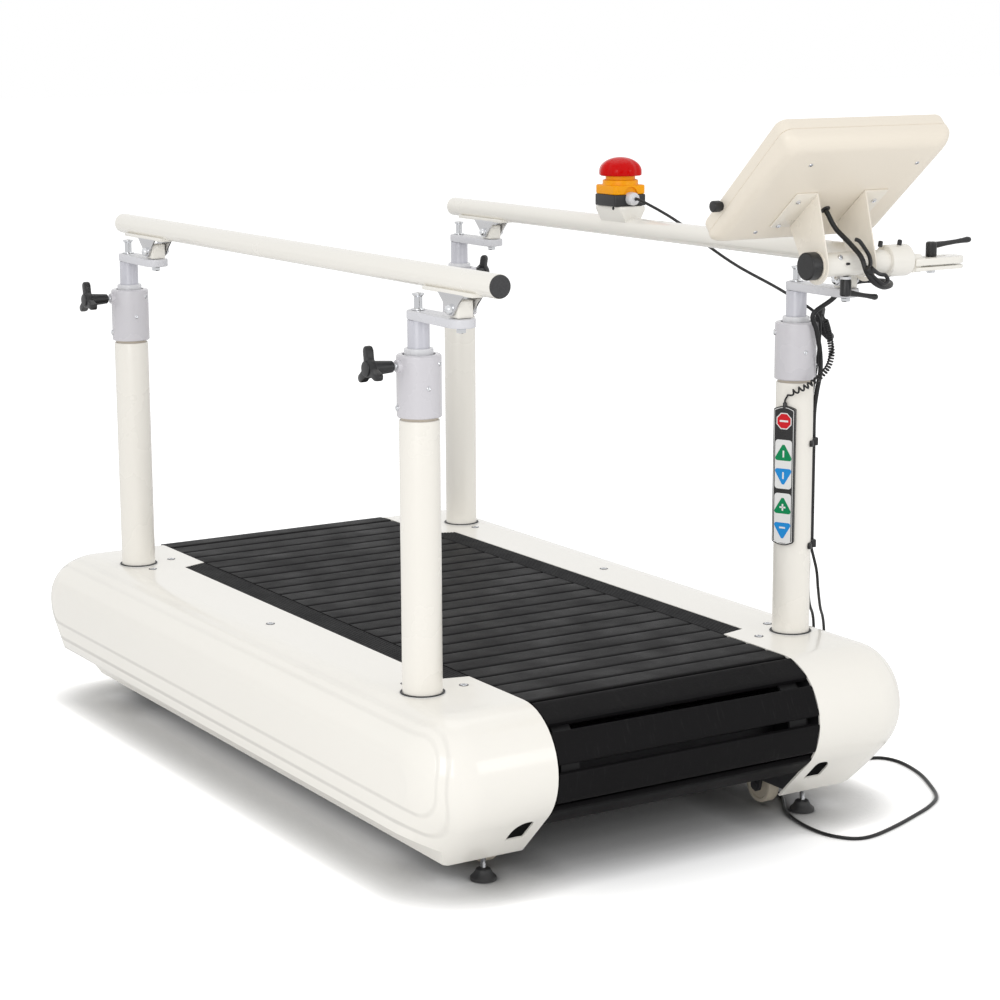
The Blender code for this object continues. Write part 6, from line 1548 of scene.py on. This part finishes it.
# Transport wheels: beige plastic wheels on bolts through the frame's ears at the front end.
WHEEL_Y = -0.650
WHEEL_R = 0.035
WHEEL_Z = 0.0425
WHEEL_NEAR = 0.2953
WHEEL_WIDTH = 0.025
wheel_beige = finish("wheel_beige", "wheel_beige", (0.58, 0.52, 0.42), 0.45, mottle=0.05, mottle_scale=30.0,
                     grain=0.0002)
wheel_half = [(0.0053, 0.001), (0.010, 0), (0.0125, 0.003), (0.026, 0.003), (0.0285, 0)]
wheel_half += [(WHEEL_R - 0.003, 0), (WHEEL_R - 0.0008, 0.0010), (WHEEL_R, 0.003)]
wheel = [(r, WHEEL_NEAR + h) for r, h in wheel_half]
wheel += [(r, WHEEL_NEAR + WHEEL_WIDTH - h) for r, h in reversed(wheel_half)]
for side, sx in SIDES:
    shape = mirrored(turned(wheel, "X", (0, WHEEL_Y, WHEEL_Z), 64), sx)
    piece(f"wheel_tyre_{side}", shape, wheel_beige, f"wheel_{side}", [f"transport_wheel_{side}"])


# Cables: round black rubber leads. One runs from the display's grommet in a loop under the crossbar, round
# the collar and down the post's clips; one runs from the stop's gland along the rail, down the post and back
# under the cover; one leaves the lower clip, lies on the floor and goes back up into the frame.
DISPLAY_LEAD_R = 0.0045
STOP_LEAD_R = 0.0029
FLOOR_LEAD_R = 0.0028
LEAD_SMOOTH = 50
lead_rubber = finish("lead_rubber", "cable_black", (0.012, 0.012, 0.013), 0.42, grain=0.0001,
                     grain_scale=700.0, shine=0.4)


def on_post(angle, radius, z):
    """Give a point beside the front right post."""
    turn = math.radians(angle)
    return (POST_X + radius * math.cos(turn), -POST_Y + radius * math.sin(turn), z)


def flowing(points, spacing=0.006):
    """Read close, even points from a smooth curve through a route's points, with straight ends."""
    line = [Vector(point) for point in points]
    line = [line[0] * 2 - line[1]] + line + [line[-1] * 2 - line[-2]]
    fine = [line[1]]
    for a, b, c, d in zip(line, line[1:], line[2:], line[3:]):
        steps = max(2, round((c - b).length / spacing))
        for i in range(1, steps + 1):
            t = i / steps
            curve = 2 * a - 5 * b + 4 * c - d
            fine.append(0.5 * (2 * b + (c - a) * t + curve * t ** 2 + (3 * b - a - 3 * c + d) * t ** 3))
    return fine


def hose(line, radius, sides=14):
    """Sweep a closed round tube along close points, its ring turned as little as it can be."""
    rings = []
    side = None
    for i, point in enumerate(line):
        ahead = (line[min(i + 1, len(line) - 1)] - line[max(i - 1, 0)]).normalized()
        side = ahead.orthogonal() if side is None else side - ahead * side.dot(ahead)
        side.normalize()
        other = ahead.cross(side)
        rings.append([point + (side * c + other * s) * radius for c, s in spokes(sides)])
    return loft(rings)


def lead(name, line, radius, body, stands_for=(), bends=None):
    """Make one stretch of a free cable and hide the CAD nodes it stands for. A stretch given bends rides on
    no body: its place is baked into its mesh.
    """
    path = [point + MIDDLE for point in line]
    mesh = as_mesh(hose(path, radius), name, LEAD_SMOOTH)
    mesh.materials.append(lead_rubber)
    item = shown(name, mesh)
    if bends is None:
        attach(item, body)
    else:
        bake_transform(item)
    if stands_for:
        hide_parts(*stands_for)


def split_at(line, *levels):
    """Cut a line of points into stretches where it first passes each given test."""
    stretches = []
    start = 0
    for passed in levels:
        end = next(i for i in range(start + 2, len(line)) if passed(line[i]))
        stretches.append(line[start:end + 1])
        start = end
    stretches.append(line[start:])
    return stretches


start = on_back(*GROMMET, -3 * GAP)[0]
inward = TO_DISPLAY.to_3x3() @ Vector((0, 0, -1))
reach = POST_R + GAP + DISPLAY_LEAD_R
display_lead = [start, start + inward * 0.010, (0.331, -0.801, 1.090), (0.340, -0.829, 1.066),
                (0.343, -0.857, 1.044), (0.346, -0.868, 1.020), (0.360, -0.871, 1.001),
                (0.386, -0.866, 0.990), (0.415, -0.852, 0.990), (0.438, -0.820, 0.992),
                (0.444, -0.775, 0.990), (0.443, -0.730, 0.984), (0.440, -0.696, 0.970),
                (0.432, -0.670, 0.946), on_post(-88, 0.0475, 0.920), on_post(-76, 0.0475, 0.890),
                on_post(-58, 0.0475, 0.850), on_post(-38, 0.0465, 0.810), on_post(-22, 0.0425, 0.770),
                on_post(-15, reach, 0.730), on_post(-14, reach, 0.670), on_post(-14, reach, 0.600),
                on_post(-14, reach, 0.540), on_post(-14, reach, CLIP_Z[1] + GAP)]
line = flowing(display_lead)
tilting, hanging, swinging, climbing = split_at(
    line, lambda p: p.z < 1.044, lambda p: p.x > 0.43 and p.y > -0.747, lambda p: p.z < 0.948)
lead("display_lead_tilting", tilting, DISPLAY_LEAD_R, None,
     bends=("display", "rail_right", (0.331, -0.801, 1.095), (0.343, -0.850, 1.050)))
lead("display_lead_hanging", hanging, DISPLAY_LEAD_R, "rail_right")
lead("display_lead_swinging", swinging, DISPLAY_LEAD_R, None,
     bends=("link_front_right", "tube_front_right", (0.443, -0.745, 0.987), (0.436, -0.680, 0.987)))
lead("display_lead_climbing", climbing, DISPLAY_LEAD_R, None, ["display_cable"],
     bends=("tube_front_right", "base", (0.430, -0.650, 0.930), (0.430, -0.650, 0.700)))

spare_loop = [(0.3497, -0.8700, 1.0215), (0.3557, -0.8720, 1.0126), (0.3740, -0.8730, 0.9990),
              (0.3856, -0.8710, 0.9962), (0.3944, -0.8690, 1.0023), (0.3896, -0.8680, 1.0106),
              (0.3770, -0.8690, 1.0130), (0.3610, -0.8760, 1.0190), (0.3480, -0.8790, 1.0270)]
side_loop = [(0.3310, -0.8550, 1.0750), (0.3380, -0.8570, 1.0720), (0.3480, -0.8590, 1.0600),
             (0.3580, -0.8600, 1.0460), (0.3600, -0.8620, 1.0330), (0.3530, -0.8660, 1.0220)]
for name, route in (("display_lead_spare_loop", spare_loop), ("display_lead_side_loop", side_loop)):
    piece(name, hose(flowing(route, 0.004), DISPLAY_LEAD_R * 0.8), lead_rubber, "rail_right",
          smooth=LEAD_SMOOTH)
knot = rounded(block(-0.0085, 0.0085, -0.0075, 0.0075, -0.0065, 0.0065), 0.0045, 4)
knot = shifted(moved(knot, Matrix.Rotation(0.5, 4, "Y")), 0.3490, -0.8720, 1.0220)
piece("display_lead_tie", knot, lead_rubber, "rail_right", smooth=LEAD_SMOOTH)

stop_start = STOP_Y - STOP_SIZE / 2 - GLAND_LENGTH - GAP
low = POST_R + GAP + STOP_LEAD_R
stop_lead = [(POST_X, stop_start, gland_z), (POST_X, stop_start - 0.008, gland_z), (0.408, -0.120, 1.088),
             (0.421, -0.150, 1.074), (0.4275, -0.186, 1.060), (0.4300, -0.240, 1.040),
             (0.4285, -0.290, 1.019), (0.4280, -0.390, 0.986), (0.4280, -0.510, 0.956),
             (0.4300, -0.580, 0.935), on_post(-14, 0.0350, 0.920), on_post(-22, 0.0450, 0.905),
             on_post(-20, 0.0470, 0.880), on_post(-12, 0.0460, 0.830), on_post(-4, 0.0420, 0.780),
             on_post(-1, low, 0.740), on_post(-1, low, 0.670), on_post(-1, low, 0.600),
             on_post(-1, low, 0.540), on_post(-1, low, 0.484), (0.447, -0.602, 0.440), (0.464, -0.580, 0.392),
             (0.492, -0.550, 0.345), (0.519, -0.528, 0.312), (0.5285, -0.520, 0.270), (0.5300, -0.518, 0.180),
             (0.5240, -0.516, 0.100), (0.4900, -0.510, 0.045), (0.4200, -0.495, 0.022),
             (0.3500, -0.475, 0.024), (0.3220, -0.466, 0.033), (0.3150, -0.463, 0.045),
             (0.3150, -0.463, 0.0547)]
along_rail, down_post = split_at(flowing(stop_lead), lambda p: p.y < -0.500)
lead("stop_lead_along_rail", along_rail, STOP_LEAD_R, "rail_right")
lead("stop_lead_down_post", down_post, STOP_LEAD_R, None, ["estop_cable"],
     bends=("tube_front_right", "base", (0.430, -0.600, 0.930), (0.430, -0.600, 0.700)))

LIE_Z = FLOOR_LEAD_R + GAP
floor_lead = [on_post(-14, reach, CLIP_Z[1] - GAP), on_post(-14, reach, CLIP_Z[1] - 0.010),
              (0.4490, -0.622, 0.430), (0.4620, -0.612, 0.390), (0.4900, -0.585, 0.345),
              (0.5180, -0.560, 0.313), (0.5310, -0.549, 0.270), (0.5380, -0.543, 0.170),
              (0.5560, -0.540, 0.070), (0.6000, -0.535, 0.018)]
floor_lead += [(x, y, LIE_Z) for x, y in (
    (0.6450, -0.536), (0.6820, -0.548), (0.6960, -0.590), (0.6820, -0.660), (0.6520, -0.727),
    (0.6110, -0.794), (0.5600, -0.832), (0.4960, -0.861), (0.4300, -0.887), (0.3660, -0.906),
    (0.3300, -0.905), (0.3080, -0.886), (0.2930, -0.850), (0.2920, -0.799), (0.3030, -0.742),
    (0.3200, -0.703), (0.3420, -0.672), (0.3640, -0.635))]
floor_lead += [(0.3680, -0.598, 0.0085), (0.3500, -0.566, 0.022), (0.3260, -0.549, 0.034),
               (0.3180, -0.546, 0.045), (0.3180, -0.546, 0.0547)]
on_floor = [Vector((p.x, p.y, max(p.z, LIE_Z - 0.0001))) for p in flowing(floor_lead)]
lead("floor_lead", on_floor, FLOOR_LEAD_R, "base", ["floor_cord"])


# Curly cord: a thin coiled lead from the keypad's socket up to the bundle beside the collar.
CURL_TUBE_R = 0.0018
CURL_R = 0.0044
CURL_COUNT = 32
CURL_CROWD = 1.55
CURL_POINTS = 16
spin = math.radians(KEYPAD_TURN)
socket = Vector((POST_X + (POST_R + 0.0055) * math.cos(spin), -POST_Y + (POST_R + 0.0055) * math.sin(spin),
                 KEYPAD_TOP_Z + 0.007 + GAP))
middle_line = flowing([socket + Vector((0, 0, 0.006)), (0.368, -0.641, 0.776), (0.386, -0.662, 0.790),
                       (0.410, -0.669, 0.806), (0.430, -0.668, 0.824), (0.440, -0.664, 0.846),
                       (0.437, -0.663, 0.869), (0.428, -0.667, 0.891), (0.416, -0.672, 0.912)], 0.0005)
count = CURL_COUNT * CURL_POINTS
turns = []
side = Vector((1, 0, 0))
for i in range(count + 1):
    place = (i / count) ** (1 / CURL_CROWD) * (len(middle_line) - 1)
    index = min(len(middle_line) - 2, int(place))
    ahead = (middle_line[index + 1] - middle_line[index]).normalized()
    side = (side - ahead * side.dot(ahead)).normalized()
    angle = 2 * math.pi * i / CURL_POINTS
    grow = CURL_R * min(1.0, i / CURL_POINTS, (count - i) / CURL_POINTS)
    centre = middle_line[index].lerp(middle_line[index + 1], place - index)
    turns.append(centre + (side * math.cos(angle) + ahead.cross(side) * math.sin(angle)) * grow)
curly = [socket, socket + Vector((0, 0, 2 * CURL_TUBE_R))] + turns[1:]
curly += [turns[-1] + Vector((-0.002, 0.001, 0.004)), turns[-1] + Vector((-0.004, 0.003, 0.010))]
piece("curly_lead", hose(curly, CURL_TUBE_R, 8), lead_rubber, "base", ["keypad_cord"], 60)
